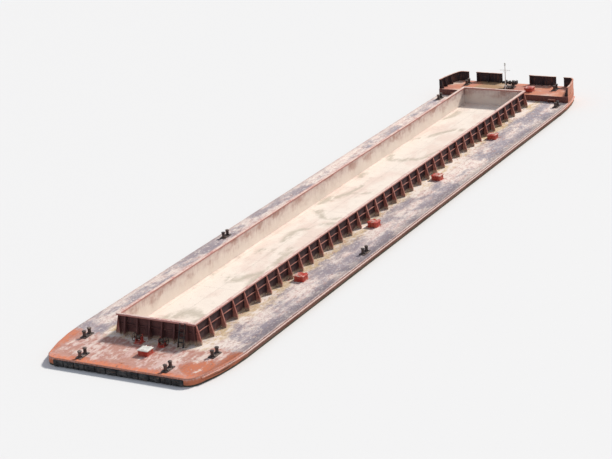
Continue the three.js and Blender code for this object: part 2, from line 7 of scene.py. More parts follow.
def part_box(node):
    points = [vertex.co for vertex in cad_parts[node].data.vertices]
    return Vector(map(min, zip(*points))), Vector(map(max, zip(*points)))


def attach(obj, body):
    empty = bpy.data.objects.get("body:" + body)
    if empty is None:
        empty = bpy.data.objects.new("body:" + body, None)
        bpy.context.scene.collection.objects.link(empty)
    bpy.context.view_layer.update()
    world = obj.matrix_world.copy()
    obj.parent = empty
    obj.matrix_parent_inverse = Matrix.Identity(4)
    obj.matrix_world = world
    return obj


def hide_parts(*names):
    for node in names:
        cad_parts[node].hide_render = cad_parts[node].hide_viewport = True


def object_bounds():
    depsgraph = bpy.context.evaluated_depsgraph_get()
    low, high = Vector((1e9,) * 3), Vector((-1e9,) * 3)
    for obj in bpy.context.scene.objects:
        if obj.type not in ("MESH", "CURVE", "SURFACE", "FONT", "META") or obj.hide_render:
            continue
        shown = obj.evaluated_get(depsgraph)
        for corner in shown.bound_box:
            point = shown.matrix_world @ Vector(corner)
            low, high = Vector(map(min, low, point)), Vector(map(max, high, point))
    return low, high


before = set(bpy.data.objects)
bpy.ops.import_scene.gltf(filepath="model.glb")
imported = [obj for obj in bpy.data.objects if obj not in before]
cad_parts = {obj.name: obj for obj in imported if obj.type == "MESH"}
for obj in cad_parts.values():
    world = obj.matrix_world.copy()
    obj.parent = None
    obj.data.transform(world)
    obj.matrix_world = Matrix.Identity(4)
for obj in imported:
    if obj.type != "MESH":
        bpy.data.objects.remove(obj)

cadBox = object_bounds()  # the box of the bare model

# The camera stands where the photograph's stood, with a longer lens turned to the barge
view = {
    "place": (-62.08, -33.04, 24.95),
    "heading": radians(15.46),  # from the bow's direction to port
    "pitch": radians(16.51),
    "focal": 440.0,  # of the photograph, in its pixels
    "middle": (306.0, 229.5),  # the photograph's own centre, in pixels
    "aim": (200.0, 257.0),  # the pixel that is this picture's centre
    "zoom": 4.0,
    "wide": 612.0,
    "sensor": 36.0,
    "farthest": 1000.0,
}


def makeCamera():
    level = Vector((cos(view["heading"]), sin(view["heading"]), 0))
    right = Vector((sin(view["heading"]), -cos(view["heading"]), 0))
    up = Vector((0, 0, 1))
    ahead = level * cos(view["pitch"]) - up * sin(view["pitch"])
    above = level * sin(view["pitch"]) + up * cos(view["pitch"])
    across = (view["aim"][0] - view["middle"][0]) / view["focal"]
    down = (view["aim"][1] - view["middle"][1]) / view["focal"]
    swing = ahead.rotation_difference(ahead + right * across - above * down)
    axes = Matrix((right, above, -ahead)).transposed()
    bpy.ops.object.camera_add(location=view["place"])
    camera = bpy.context.object
    camera.rotation_euler = (swing.to_matrix() @ axes).to_euler()
    camera.data.sensor_width = view["sensor"]
    camera.data.lens = view["zoom"] * view["sensor"] * view["focal"] / view["wide"]
    camera.data.clip_end = view["farthest"]
    bpy.context.scene.camera = camera


print("setting up the camera")
makeCamera()

# Heights and lengths of the barge in metres, read from the frame
waterline = 0.86
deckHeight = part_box("hull_midbody")[1].z
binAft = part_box("bin_wall_aft")[1].x  # the inner edges of the end walls' rails
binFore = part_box("bin_wall_fore")[0].x
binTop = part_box("bin_wall_aft")[1].z
railInside = 0.025
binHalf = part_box("bin_wall_port")[0].y + railInside  # half the clear width between the side walls


class Flow:
    # a node's output that takes part in sums as a number does
    def __init__(self, finish, socket):
        self.finish = finish
        self.socket = socket

    def sum(self, operation, *values):
        return self.finish.node("ShaderNodeMath", {"operation": operation}, dict(enumerate(values)))

    def __add__(self, other):
        return self.sum("ADD", self, other)

    def __sub__(self, other):
        return self.sum("SUBTRACT", self, other)

    def __mul__(self, other):
        return self.sum("MULTIPLY", self, other)

    def __truediv__(self, other):
        return self.sum("DIVIDE", self, other)

    def __rsub__(self, other):
        return self.sum("SUBTRACT", other, self)

    def __abs__(self):
        return self.sum("ABSOLUTE", self)

    __radd__ = __add__
    __rmul__ = __mul__

    def highest(self, other):
        return self.sum("MAXIMUM", self, other)

    def fraction(self):
        return self.sum("FRACT", self)

    def rise(self, low, high):  # 0 at low and 1 at high, smoothly, and falling when low is above high
        settings = {"interpolation_type": "SMOOTHSTEP"}
        return self.finish.node("ShaderNodeMapRange", settings, {0: self, 1: low, 2: high})

    def output(self, name):
        return Flow(self.finish, self.finish.pick(self.socket.node.outputs, name))


class Finish:
    # one material, read in metres of the object's own coordinates
    def __init__(self, name, metallic=0.0, specular=0.4):
        self.material = bpy.data.materials.new(name)
        self.material.use_nodes = True
        self.tree = self.material.node_tree
        self.tree.nodes.clear()
        self.shader = self.tree.nodes.new("ShaderNodeBsdfPrincipled")
        self.shader.inputs["Specular IOR Level"].default_value = specular
        self.shader.inputs["Metallic"].default_value = metallic
        output = self.tree.nodes.new("ShaderNodeOutputMaterial")
        self.tree.links.new(self.shader.outputs["BSDF"], output.inputs["Surface"])
        self.place = self.node("ShaderNodeTexCoord", {}, {}, "Object")
        self.x = self.node("ShaderNodeSeparateXYZ", {}, {0: self.place}, "X")
        self.y = self.x.output("Y")
        self.z = self.x.output("Z")

    def pick(self, sockets, name):
        if isinstance(name, int):
            return sockets[name]
        return next(socket for socket in sockets if name in (socket.identifier, socket.name))

    def node(self, kind, settings, inputs, output=0):
        made = self.tree.nodes.new(kind)
        for name, value in settings.items():
            setattr(made, name, value)
        for name, value in inputs.items():
            self.feed(self.pick(made.inputs, name), value)
        return Flow(self, self.pick(made.outputs, output))

    def feed(self, socket, value):
        if isinstance(value, Flow):
            self.tree.links.new(value.socket, socket)
        elif socket.type == "RGBA":
            socket.default_value = (*value, 1)
        else:
            socket.default_value = value

    def facing(self, axis):  # how far the surface looks along an axis
        normal = self.node("ShaderNodeTexCoord", {}, {}, "Normal")
        return self.node("ShaderNodeSeparateXYZ", {}, {0: normal}, axis)

    def mix(self, mask, below, above):  # colours, where the mask is 0 and where it is 1
        inputs = {"Factor_Float": mask, "A_Color": below, "B_Color": above}
        return self.node("ShaderNodeMix", {"data_type": "RGBA"}, inputs, "Result_Color")

    def spread(self, size, stretch, shift):  # places counted in a pattern's own size
        scale = tuple(1 / (size * along) for along in stretch)
        inputs = {"Vector": self.place, "Location": (shift,) * 3, "Scale": scale}
        return self.node("ShaderNodeMapping", {}, inputs)

    def cloud(self, size, stretch=(1, 1, 1), detail=5, rough=0.6, twist=0.0, shift=0.0):
        # patches of about this size in metres, stretched along the axes
        inputs = {"Scale": 1.0, "Detail": detail, "Roughness": rough, "Distortion": twist}
        inputs["Vector"] = self.spread(size, stretch, shift)
        return self.node("ShaderNodeTexNoise", {}, inputs)

    def clouds(self, look):
        return [self.cloud(**values) for values in look["clouds"].values()]

    def cells(self, size, stretch=(1, 1, 1), shift=0.0):  # distance from scattered points
        inputs = {"Vector": self.spread(size, stretch, shift), "Scale": 1.0}
        return self.node("ShaderNodeTexVoronoi", {}, inputs, "Distance")

    def seam(self, along, pitch, width):  # 1 on lines a pitch apart, 0 between them
        away = abs((along / pitch).fraction() - 0.5) * pitch
        return away.rise(width, 0.0)

    def outward(self, beam):  # 1 on a side that looks away from the deck at the bow, -1 on its inner side
        return self.facing("X") + self.facing("Y") * self.y / beam

    def bumps(self, *layers):  # heights with their depths in metres, one over another
        normal = None
        for height, depth in layers:
            inputs = {"Height": height, "Distance": depth, "Strength": 1.0}
            if normal is not None:
                inputs["Normal"] = normal
            normal = self.node("ShaderNodeBump", {}, inputs)
        return normal

    def wear(self, **sockets):  # the shader's own sockets, by name, with _ for a blank
        for name, value in sockets.items():
            self.feed(self.shader.inputs[name.replace("_", " ")], value)
        return self.material


hullLook = {
    "sidePaint": (0.20, 0.075, 0.05),
    "sideFaded": (0.25, 0.115, 0.08),
    "sideOrange": (0.54, 0.165, 0.08),
    "sideRust": (0.13, 0.055, 0.03),
    "tideLine": (0.06, 0.055, 0.035),
    "bottomPaint": (0.12, 0.045, 0.03),
    "slime": (0.07, 0.085, 0.04),
    "plateBare": (0.47, 0.395, 0.395),
    "plateLilac": (0.31, 0.285, 0.325),
    "plateRust": (0.36, 0.175, 0.125),
    "plateDull": (0.26, 0.215, 0.24),
    "dustPale": (0.82, 0.72, 0.64),
    "dustPink": (0.70, 0.52, 0.47),
    "dustOchre": (0.62, 0.45, 0.24),
    "spillRed": (0.42, 0.13, 0.07),
    "sternPaint": (0.40, 0.165, 0.13),
    "sternPink": (0.48, 0.255, 0.20),
    "sternOrange": (0.52, 0.16, 0.075),
    "binPale": (0.80, 0.71, 0.62),
    "binOlive": (0.45, 0.395, 0.31),
    "binWarm": (0.72, 0.57, 0.49),
    "clouds": {
        "patches": {"size": 0.7, "stretch": (2.2, 0.9, 1), "detail": 6},
        "mottle": {"size": 0.19, "stretch": (1.8, 1, 1), "detail": 6, "rough": 0.66, "shift": 19.0},
        "flecks": {"size": 0.07, "stretch": (1.5, 1, 1), "rough": 0.72, "shift": 23.0},
        "streaks": {"size": 0.35, "stretch": (6, 0.6, 1), "detail": 6, "rough": 0.65, "shift": 7.0},
        "grit": {"size": 0.05, "detail": 4, "rough": 0.7, "shift": 3.0},
        "blotches": {"size": 1.7, "stretch": (1.6, 1, 1), "rough": 0.55, "twist": 0.6, "shift": 11.0},
        "spots": {"size": 0.16, "detail": 3, "shift": 27.0},
        "runs": {"size": 0.06, "stretch": (1, 1, 9), "detail": 4, "shift": 5.0},
        "scrapes": {"size": 0.25, "stretch": (7, 7, 0.5), "detail": 6, "rough": 0.7, "shift": 9.0},
        "dents": {"size": 0.7, "stretch": (1, 1, 0.8), "detail": 2, "rough": 0.4, "shift": 15.0},
    },
    "drifts": {"size": 2.6, "stretch": (1.5, 1, 1), "shift": 5.0},
    "edgeBand": 3.3,  # where the worn strip along the deck's edge starts
    "spill": (1.95, 2.25),  # where the spill at the foot of the bin ends
    "dull": (-1.0, 7.0),  # the side decks are duller aft of this
    "dustyAt": 6.8,  # and dustier round this place
    "sternStart": -15.85,  # the orange deck lies aft of this
    "sternEdge": -17.74,  # the soundest orange paint lies aft of this,
    "sternSide": 3.1,  # outside this,
    "quarter": (-17.1, -2.75),  # and round this place
    "quarterWide": 0.85,
    "orangeEnds": (15.2, 16.0),  # where the sides turn orange, from the middle of the hull
    "plateLength": 3.0,
    "plateWidth": 0.9,
    "seamWide": (0.012, 0.01),
    "dentDepth": 0.03,
    "gritDepth": 0.006,
    "seamDepth": 0.004,
}


def makeHullFinish():
    look = hullLook
    f = Finish("hull paint and dusty deck")
    patches, mottle, flecks, streaks, grit, blotches, spots, runs, scrapes, dents = f.clouds(look)
    ripple = mottle - 0.5
    wave = blotches - 0.5
    side = abs(f.y)

    # Side decks: bare lilac-grey plates under thick dust
    plates = f.mix((patches * 0.5 + grit * 0.5).rise(0.44, 0.55), look["plateBare"], look["plateLilac"])
    rusty = (mottle * 0.5 + grit * 0.2 + streaks * 0.3).rise(0.555, 0.6)
    plates = f.mix(rusty, plates, look["plateRust"])
    dust = f.mix((streaks * 0.4 + mottle * 0.6).rise(0.44, 0.58), look["dustPale"], look["dustPink"])
    bared = mottle * 0.25 + patches * 0.35 + blotches * 0.3 + flecks * 0.1 + (side - 2.7) * 0.035
    dusty = abs(f.x + wave * 6.0 - look["dustyAt"]).rise(5.0, 2.0)
    deck = f.mix((bared - dusty * 0.02).rise(0.465, 0.54), dust, plates)
    deck = f.mix(flecks.rise(0.455, 0.4) * 0.6, deck, look["plateRust"])

    # An ochre spill at the foot of the bin, a worn strip along the deck's edge, stains and specks
    spill = f.mix((mottle * 0.5 + patches * 0.5).rise(0.45, 0.56), look["dustPale"], look["dustOchre"])
    spill = f.mix((spots * 0.7 + blotches * 0.3).rise(0.585, 0.62), spill, look["spillRed"])
    spillEnd, spillReach = look["spill"]
    spilled = (side + wave * 1.2 + ripple * 1.1).rise(spillReach, spillEnd)
    deck = f.mix(spilled, deck, spill)
    edge = (side + ripple * 0.5).rise(look["edgeBand"], look["edgeBand"] + 0.07)
    edgeDust = f.mix(mottle.rise(0.45, 0.55), look["dustPink"], look["dustPale"])
    deck = f.mix(edge * 0.8, deck, edgeDust)
    dullest, dullUntil = look["dull"]
    dull = (f.x + wave * 10.0).rise(dullUntil, dullest)
    stains = (patches * 0.5 + blotches * 0.5).rise(0.44, 0.56) * (dull * 0.25 + 0.3)
    stained = (dull * 0.26 + stains + edge * 0.15 - 0.1) * (1.0 - spilled * 0.6)
    deck = f.mix(stained, deck, look["plateDull"])
    deck = f.mix((flecks * 0.6 + mottle * 0.4).rise(0.53, 0.59) * 0.6, deck, look["dustPale"])

    # The stern deck keeps its orange paint along the edges and wears to maroon under pale patches
    paint = f.mix((patches * 0.5 + flecks * 0.5).rise(0.44, 0.56), look["sternPink"], look["sternPaint"])
    quarterX, quarterY = look["quarter"]
    quarter = look["quarterWide"] - abs(f.x - quarterX) - abs(f.y - quarterY)
    sound = (look["sternEdge"] - f.x).highest(side - look["sternSide"]).highest(quarter)
    sound = (sound + ripple * 1.4 + wave * 0.6).rise(-0.15, 0.15)
    orange = f.mix(flecks.rise(0.5, 0.6), look["sternOrange"], look["sternPaint"])
    paint = f.mix(sound, paint, orange)
    paint = f.mix((mottle * 0.6 + flecks * 0.4).rise(0.555, 0.61) * 0.7, paint, look["sideRust"])
    dusted = (mottle * 0.4 + patches * 0.4 + flecks * 0.2 - sound * 0.07).rise(0.47, 0.545)
    sternDust = f.mix(streaks.rise(0.45, 0.56), look["dustPale"], look["dustPink"])
    paint = f.mix(dusted * 0.7, paint, sternDust)
    aft = f.x + wave * 1.6 + ripple * 0.9 - (side - 2.0).highest(0.0) * 0.3
    aft = aft.rise(look["sternStart"] + 0.15, look["sternStart"] - 0.15)
    deck = f.mix(aft, deck, paint)

    # The floor of the bin: pale dust in low drifts, each with a darker crescent round it
    drifts = f.cells(**look["drifts"]) + wave * 0.5 + ripple * 0.12
    crescent = abs(drifts - 0.46).rise(0.1, 0.0) * patches.rise(0.42, 0.52)
    warm = (blotches * 0.6 + patches * 0.4).rise(0.46, 0.58)
    floor = f.mix(warm * 0.7, look["binPale"], look["binWarm"])
    floor = f.mix(crescent * 0.75, floor, look["binOlive"])
    floor = f.mix((grit * 0.4 + mottle * 0.6).rise(0.56, 0.62) * 0.4, floor, look["binOlive"])
    corner = (side + ripple * 0.6).rise(binHalf - 0.14, binHalf)
    floor = f.mix(corner * 0.5, floor, look["dustPink"])
    inside = side.rise(binHalf + 0.01, binHalf) * f.x.rise(binAft - 0.03, binAft - 0.02)
    inside = inside * f.x.rise(binFore + 0.03, binFore + 0.02)
    deck = f.mix(inside, deck, floor)

    # Sides: dull red-brown with rust, orange at the quarters and shoulders, and a dark tide line
    paint = f.mix(patches.rise(0.4, 0.6), look["sidePaint"], look["sideFaded"])
    ends = (abs(f.x) + (patches - 0.5) * 2.0).rise(*look["orangeEnds"])
    paint = f.mix(ends, paint, look["sideOrange"])
    paint = f.mix(scrapes.rise(0.52, 0.6) * 0.85, paint, look["sideRust"])
    fall = f.z + (runs - 0.5) * 0.35
    paint = f.mix(fall.rise(deckHeight - 0.1, deckHeight + 0.03) * 0.6, paint, look["dustPink"])
    ledge = f.facing("Z").rise(0.5, 0.9) * (1.0 - ends * 0.6)
    paint = f.mix(ledge * 0.85, paint, look["dustPink"])
    tide = f.z + (streaks - 0.5) * 0.08 + (runs - 0.5) * 0.03
    paint = f.mix(tide.rise(waterline + 0.075, waterline + 0.05), paint, look["tideLine"])
    below = f.mix(patches.rise(0.45, 0.6), look["bottomPaint"], look["slime"])
    below = f.mix((grit * 0.5 + scrapes * 0.5).rise(0.55, 0.62), below, look["sideRust"])
    paint = f.mix(tide.rise(waterline + 0.01, waterline - 0.02), paint, below)
    onDeck = f.z.rise(deckHeight - 0.03, deckHeight - 0.02) * f.facing("Z").rise(0.3, 0.6)
    colour = f.mix(onDeck, paint, deck)

    lengthwise, crosswise = look["seamWide"]
    seams = f.seam(f.x, look["plateLength"], lengthwise)
    seams = seams.highest(f.seam(f.y, look["plateWidth"], crosswise))
    colour = f.mix(seams * 0.35, colour, look["sideRust"])
    layers = (dents, look["dentDepth"]), (grit + streaks, look["gritDepth"]), (seams, look["seamDepth"])
    return f.wear(Base_Color=colour, Roughness=mottle * 0.3 + 0.6, Normal=f.bumps(*layers))


binLook = {
    # painted shade: the bays between the ribs are nearly black, with lighter worn patches
    "bay": (0.045, 0.022, 0.024),
    "shadedBayWorn": (0.12, 0.05, 0.045),
    "rib": (0.32, 0.105, 0.08),
    "ribFaded": (0.44, 0.19, 0.15),
    "rust": (0.13, 0.05, 0.035),
    "rail": (0.50, 0.23, 0.20),
    # dust on the rail's top face, and a painted highlight there
    "railDustAndHighlight": (0.76, 0.62, 0.54),
    "inner": (0.60, 0.455, 0.41),
    "innerRust": (0.44, 0.27, 0.225),
    "innerDust": (0.80, 0.71, 0.62),
    "footDust": (0.66, 0.52, 0.38),
    "clouds": {
        "patches": {"size": 0.5, "stretch": (1.6, 1.6, 1), "detail": 7, "rough": 0.65},
        "runs": {"size": 0.09, "stretch": (1, 1, 8), "shift": 4.0},
        "grit": {"size": 0.04, "detail": 4, "rough": 0.7, "shift": 8.0},
        "dents": {"size": 0.45, "detail": 2, "rough": 0.4, "shift": 12.0},
    },
    "railDepth": 0.07,
    "splash": 0.15,  # the height that dust thrown up from the deck reaches
    "dentDepth": 0.02,
    "gritDepth": 0.0015,
}


def makeBinFinish():
    look = binLook
    f = Finish("bin paint")
    patches, runs, grit, dents = f.clouds(look)
    side = abs(f.y)

    # Outside: painted shade, nearly black, on the plates in the bays and over most of the aft wall's ribs,
    # red-brown ribs, and dust thrown up from the deck
    bay = f.mix((patches * 0.6 + runs * 0.4).rise(0.48, 0.62), look["bay"], look["shadedBayWorn"])
    rib = f.mix(patches.rise(0.42, 0.6), look["rib"], look["ribFaded"])
    rib = f.mix((runs * 0.6 + grit * 0.4).rise(0.54, 0.62), rib, look["rust"])
    away = (side - binHalf).highest(binAft - f.x).highest(f.x - binFore) + (grit - 0.5) * 0.04
    # painted shade: on the aft wall the ribs mostly take the nearly black bay colour
    sternWallShade = f.x.rise(binAft - 0.03, binAft - 0.05)
    outer = f.mix(away.rise(0.03, 0.055) * (1.0 - sternWallShade * 0.75), bay, rib)
    splash = f.z + (patches - 0.5) * 0.45 + (grit - 0.5) * 0.1
    splash = splash.rise(deckHeight + look["splash"], deckHeight + 0.02)
    outer = f.mix(splash * 0.7, outer, look["footDust"])

    # Inside: bare plate, dusty towards the floor
    inner = f.mix(patches.rise(0.45, 0.62), look["inner"], look["innerRust"])
    dusty = f.z + (runs - 0.5) * 0.6 + (patches - 0.5) * 0.9
    inner = f.mix(dusty.rise(deckHeight + 0.8, deckHeight + 0.2) * 0.9, inner, look["innerDust"])
    within = f.x.rise(binAft - 0.04, binAft - 0.03) * f.x.rise(binFore + 0.04, binFore + 0.03)
    inward = (f.facing("Y") * f.y / -binHalf).rise(0.3, 0.6) * side.rise(binHalf + 0.05, binHalf + 0.04)
    endward = (f.facing("X") * f.x / -binFore).rise(0.3, 0.6) * side.rise(binHalf, binHalf - 0.01)
    colour = f.mix(inward.highest(endward) * within, outer, inner)

    # The top rail, its top face paler with dust and a painted highlight
    railLow = binTop - look["railDepth"]
    rail = f.mix((patches * 0.6 + grit * 0.4).rise(0.5, 0.58), look["rail"], look["ribFaded"])
    colour = f.mix(f.z.rise(railLow - 0.004, railLow), colour, rail)
    topDustAndHighlight = f.z.rise(binTop - 0.016, binTop - 0.008) * (patches * 0.5 + grit * 0.5).rise(0.42, 0.52)
    colour = f.mix(topDustAndHighlight * 0.85, colour, look["railDustAndHighlight"])
    normal = f.bumps((dents, look["dentDepth"]), (grit + runs * 0.5, look["gritDepth"]))
    return f.wear(Base_Color=colour, Roughness=patches * 0.3 + 0.55, Normal=normal)


foreLook = {
    "paint": (0.50, 0.20, 0.14),
    "orange": (0.60, 0.23, 0.13),
    "rust": (0.22, 0.085, 0.05),
    "dust": (0.70, 0.55, 0.46),
    "olive": (0.27, 0.24, 0.12),
    # painted shade: the aft-facing and inboard sides are dark
    "aftSideShade": (0.15, 0.05, 0.045),
    "outerSide": (0.50, 0.165, 0.09),
    "clouds": {
        "patches": {"size": 0.8, "stretch": (1, 1.4, 1), "detail": 7, "rough": 0.63, "shift": 2.0},
        "grit": {"size": 0.05, "detail": 4, "rough": 0.7, "shift": 6.0},
        "runs": {"size": 0.05, "stretch": (1, 1, 7), "detail": 4, "shift": 9.0},
        "drift": {"size": 1.1, "stretch": (1, 1.8, 1), "detail": 6, "shift": 17.0},
        "dents": {"size": 0.6, "detail": 2, "rough": 0.4},
    },
    "beam": 3.0,  # half the width at which the corners turn
    "stainAt": 0.9,  # to port of the middle
    "stain": (0.5, 0.9),  # where it starts to fade and where it ends, from there
    "plateWidth": 0.95,
    "seamWide": 0.01,
    "dentDepth": 0.02,
    "gritDepth": 0.005,
    "seamDepth": 0.004,
}


def makeForeDeckFinish():
    look = foreLook
    f = Finish("raised deck paint")
    patches, grit, runs, drift, dents = f.clouds(look)
    deck = f.mix(patches.rise(0.4, 0.6), look["paint"], look["orange"])
    deck = f.mix((patches * 0.4 + grit * 0.6).rise(0.56, 0.64), deck, look["rust"])
    deck = f.mix((drift * 0.8 + grit * 0.2).rise(0.5, 0.6) * 0.8, deck, look["dust"])
    stainFrom, stainTo = look["stain"]
    stained = abs(f.y - look["stainAt"]) + (drift - 0.5) * 2.5 + (grit - 0.5) * 0.5
    deck = f.mix(stained.rise(stainTo, stainFrom) * 0.6, deck, look["olive"])
    # painted shade on the sides that face aft and inboard, orange paint on the outboard ones
    side = f.mix(f.outward(look["beam"]).rise(0.3, 0.6), look["aftSideShade"], look["outerSide"])
    side = f.mix((runs * 0.6 + grit * 0.4).rise(0.51, 0.59), side, look["rust"])
    colour = f.mix(f.facing("Z").rise(0.3, 0.6), side, deck)
    seams = f.seam(f.y, look["plateWidth"], look["seamWide"])
    colour = f.mix(seams * 0.3, colour, look["rust"])
    layers = (dents, look["dentDepth"]), (grit, look["gritDepth"]), (seams, look["seamDepth"])
    return f.wear(Base_Color=colour, Roughness=patches * 0.2 + 0.6, Normal=f.bumps(*layers))


# Painted fittings: the colours, then how much of the paint is rust and dust, and its roughness
paintLook = {
    "redGear": {
        "paint": (0.46, 0.045, 0.03), "faded": (0.55, 0.12, 0.08), "rust": (0.16, 0.05, 0.03),
        "dust": (0.66, 0.55, 0.47), "rusted": 0.35, "dusted": 0.45, "rough": 0.5,
    },
    "paleGear": {
        "paint": (0.66, 0.64, 0.58), "faded": (0.74, 0.73, 0.69), "rust": (0.30, 0.14, 0.07),
        "dust": (0.66, 0.55, 0.47), "rusted": 0.3, "dusted": 0.3, "rough": 0.5,
    },
    "blackGear": {
        "paint": (0.03, 0.028, 0.028), "faded": (0.07, 0.06, 0.055), "rust": (0.15, 0.06, 0.035),
        "dust": (0.45, 0.37, 0.3), "rusted": 0.45, "dusted": 0.2, "rough": 0.55,
    },
    "castIron": {
        "paint": (0.055, 0.04, 0.036), "faded": (0.11, 0.08, 0.07), "rust": (0.17, 0.075, 0.045),
        "dust": (0.5, 0.4, 0.33), "rusted": 0.4, "dusted": 0.3, "rough": 0.5,
    },
}
paintPatterns = {
    "clouds": {
        "patches": {"size": 0.22, "detail": 7, "rough": 0.65},
        "runs": {"size": 0.05, "stretch": (1, 1, 5), "shift": 4.0},
        "grit": {"size": 0.02, "detail": 4, "rough": 0.7, "shift": 8.0},
    },
    "gritDepth": 0.003,
}


def makePaint(name):
    look = paintLook[name]
    f = Finish(name)
    patches, runs, grit = f.clouds(paintPatterns)
    colour = f.mix(patches.rise(0.4, 0.62), look["paint"], look["faded"])
    rustFrom = 0.62 - look["rusted"] * 0.2
    rusty = (patches * 0.35 + runs * 0.35 + grit * 0.3).rise(rustFrom, rustFrom + 0.04)
    colour = f.mix(rusty, colour, look["rust"])
    dustFrom = 0.62 - look["dusted"] * 0.3
    dusty = f.facing("Z").rise(0.5, 0.95) * (patches * 0.6 + grit * 0.4).rise(dustFrom, dustFrom + 0.06)
    colour = f.mix(dusty * 0.75, colour, look["dust"])
    normal = f.bumps((grit + patches, paintPatterns["gritDepth"]))
    return f.wear(Base_Color=colour, Roughness=rusty * 0.25 + look["rough"], Normal=normal)


bulwarkLook = {
    "outer": (0.50, 0.16, 0.085),
    "outerFaded": (0.58, 0.25, 0.16),
    # painted shade: the inboard faces are nearly black, with lighter worn patches
    "inner": (0.035, 0.025, 0.03),
    "innerShadeWorn": (0.13, 0.06, 0.045),
    "rust": (0.16, 0.06, 0.035),
    "dust": (0.66, 0.50, 0.42),
    "clouds": {
        "patches": {"size": 0.3, "detail": 7, "rough": 0.65},
        "runs": {"size": 0.05, "stretch": (1, 1, 6), "shift": 4.0},
        "grit": {"size": 0.025, "detail": 4, "rough": 0.7, "shift": 8.0},
    },
    "beam": 3.0,  # half the width at which the corners turn
    "gritDepth": 0.004,
}


def makeBulwarkFinish():  # orange outboard, and nearly black inboard as painted shade
    look = bulwarkLook
    f = Finish("bulwark paint")
    patches, runs, grit = f.clouds(look)
    outer = f.mix(patches.rise(0.42, 0.6), look["outer"], look["outerFaded"])
    outer = f.mix((runs * 0.5 + patches * 0.3 + grit * 0.2).rise(0.53, 0.58), outer, look["rust"])
    # painted shade on the inboard faces, nearly black
    inner = f.mix((runs * 0.6 + patches * 0.4).rise(0.49, 0.6), look["inner"], look["innerShadeWorn"])
    colour = f.mix(f.outward(look["beam"]).rise(0.7, 0.9), inner, outer)
    edge = f.mix((patches * 0.5 + grit * 0.5).rise(0.46, 0.54), look["outer"], look["dust"])
    colour = f.mix(f.facing("Z").rise(0.5, 0.9), colour, edge)
    normal = f.bumps((grit + patches, look["gritDepth"]))
    return f.wear(Base_Color=colour, Roughness=patches * 0.3 + 0.5, Normal=normal)


rubberLook = {
    "black": (0.02, 0.02, 0.021),
    "grey": (0.075, 0.072, 0.07),
    "scuff": (0.28, 0.15, 0.1),
    "clouds": {
        "patches": {"size": 0.15, "stretch": (1, 2, 1), "detail": 6, "rough": 0.65},
        "scrapes": {"size": 0.08, "stretch": (1, 6, 0.6), "rough": 0.7, "shift": 5.0},
    },
    "scrapeDepth": 0.004,
}


def makeRubber():
    look = rubberLook
    f = Finish("fender rubber")
    patches, scrapes = f.clouds(look)
    colour = f.mix(patches.rise(0.42, 0.6), look["black"], look["grey"])
    colour = f.mix(scrapes.rise(0.58, 0.66) * 0.7, colour, look["scuff"])
    normal = f.bumps((patches + scrapes, look["scrapeDepth"]))
    return f.wear(Base_Color=colour, Roughness=patches * 0.2 + 0.7, Normal=normal)


ropeLook = {
    # painted shade in the grooves between the strands
    "grooveShade": (0.06, 0.05, 0.045),
    "wire": (0.30, 0.27, 0.23),
    "rust": (0.20, 0.085, 0.04),
    "clouds": {"grease": {"size": 0.03, "detail": 3}},
    "strands": 90.0,
    "strandTwist": 0.6,
    "strandDepth": 0.002,
}


def makeWireRope():  # strands laid slantwise with painted shade in the grooves between them, under grease and rust
    look = ropeLook
    f = Finish("galvanised wire rope", metallic=0.6)
    [grease] = f.clouds(look)
    inputs = {"Vector": f.place, "Scale": look["strands"], "Distortion": look["strandTwist"]}
    strands = f.node("ShaderNodeTexWave", {"bands_direction": "DIAGONAL"}, inputs)
    colour = f.mix(strands, look["grooveShade"], look["wire"])
    colour = f.mix(grease.rise(0.5, 0.62), colour, look["rust"])
    normal = f.bumps((strands, look["strandDepth"]))
    return f.wear(Base_Color=colour, Roughness=grease * 0.3 + 0.35, Normal=normal)


lampLook = {
    "glass": (0.78, 0.82, 0.80),
    "grime": (0.55, 0.50, 0.42),
    "clouds": {"dust": {"size": 0.03, "stretch": (1, 1, 3)}},
    "coat": 0.8,
}


def makeLampGlass():
    look = lampLook
    f = Finish("lamp glass", specular=0.6)
    [dust] = f.clouds(look)
    colour = f.mix(dust.rise(0.45, 0.65) * 0.6, look["glass"], look["grime"])
    return f.wear(Base_Color=colour, Roughness=dust * 0.25 + 0.04, Coat_Weight=look["coat"])


print("making the finishes")
finishes = {name: makePaint(name) for name in paintLook}
finishes["hull"] = makeHullFinish()
finishes["bin"] = makeBinFinish()
finishes["foreDeck"] = makeForeDeckFinish()
finishes["bulwark"] = makeBulwarkFinish()
finishes["rubber"] = makeRubber()
finishes["wireRope"] = makeWireRope()
finishes["lampGlass"] = makeLampGlass()

meshing = {
    "merge": 0.00002,  # points closer than this are one
    "flat": radians(0.5),  # faces that turn less than this are one
    "smooth": 35,  # degrees
}


def deselectAll():
    if bpy.context.mode != "OBJECT":
        bpy.ops.object.mode_set(mode="OBJECT")
    bpy.ops.object.select_all(action="DESELECT")


def takeUp(piece):
    deselectAll()
    piece.select_set(True)
    bpy.context.view_layer.objects.active = piece


def applyModifier(piece, kind, **settings):
    takeUp(piece)
    bpy.ops.object.modifier_add(type=kind)
    modifier = piece.modifiers[-1]
    for name, value in settings.items():
        setattr(modifier, name, value)
    bpy.ops.object.modifier_apply(modifier=modifier.name)


def repeated(piece, count, step):  # a row of the same piece in one mesh, each a step from the last
    applyModifier(
        piece,
        "ARRAY",
        count=count,
        use_relative_offset=False,
        use_constant_offset=True,
        constant_offset_displace=step,
    )


def fixed(name):  # the new primitive, named, with its place in its mesh
    piece = bpy.context.object
    piece.name = name
    piece.data.name = name
    bpy.ops.object.transform_apply(location=True, rotation=True, scale=True)
    return piece


def block(name, low, high, at=(0, 0, 0)):  # between two corners that are counted from a place
    deselectAll()
    low, high = Vector(low), Vector(high)
    bpy.ops.mesh.primitive_cube_add(size=1, location=Vector(at) + (low + high) / 2)
    bpy.context.object.scale = high - low
    return fixed(name)


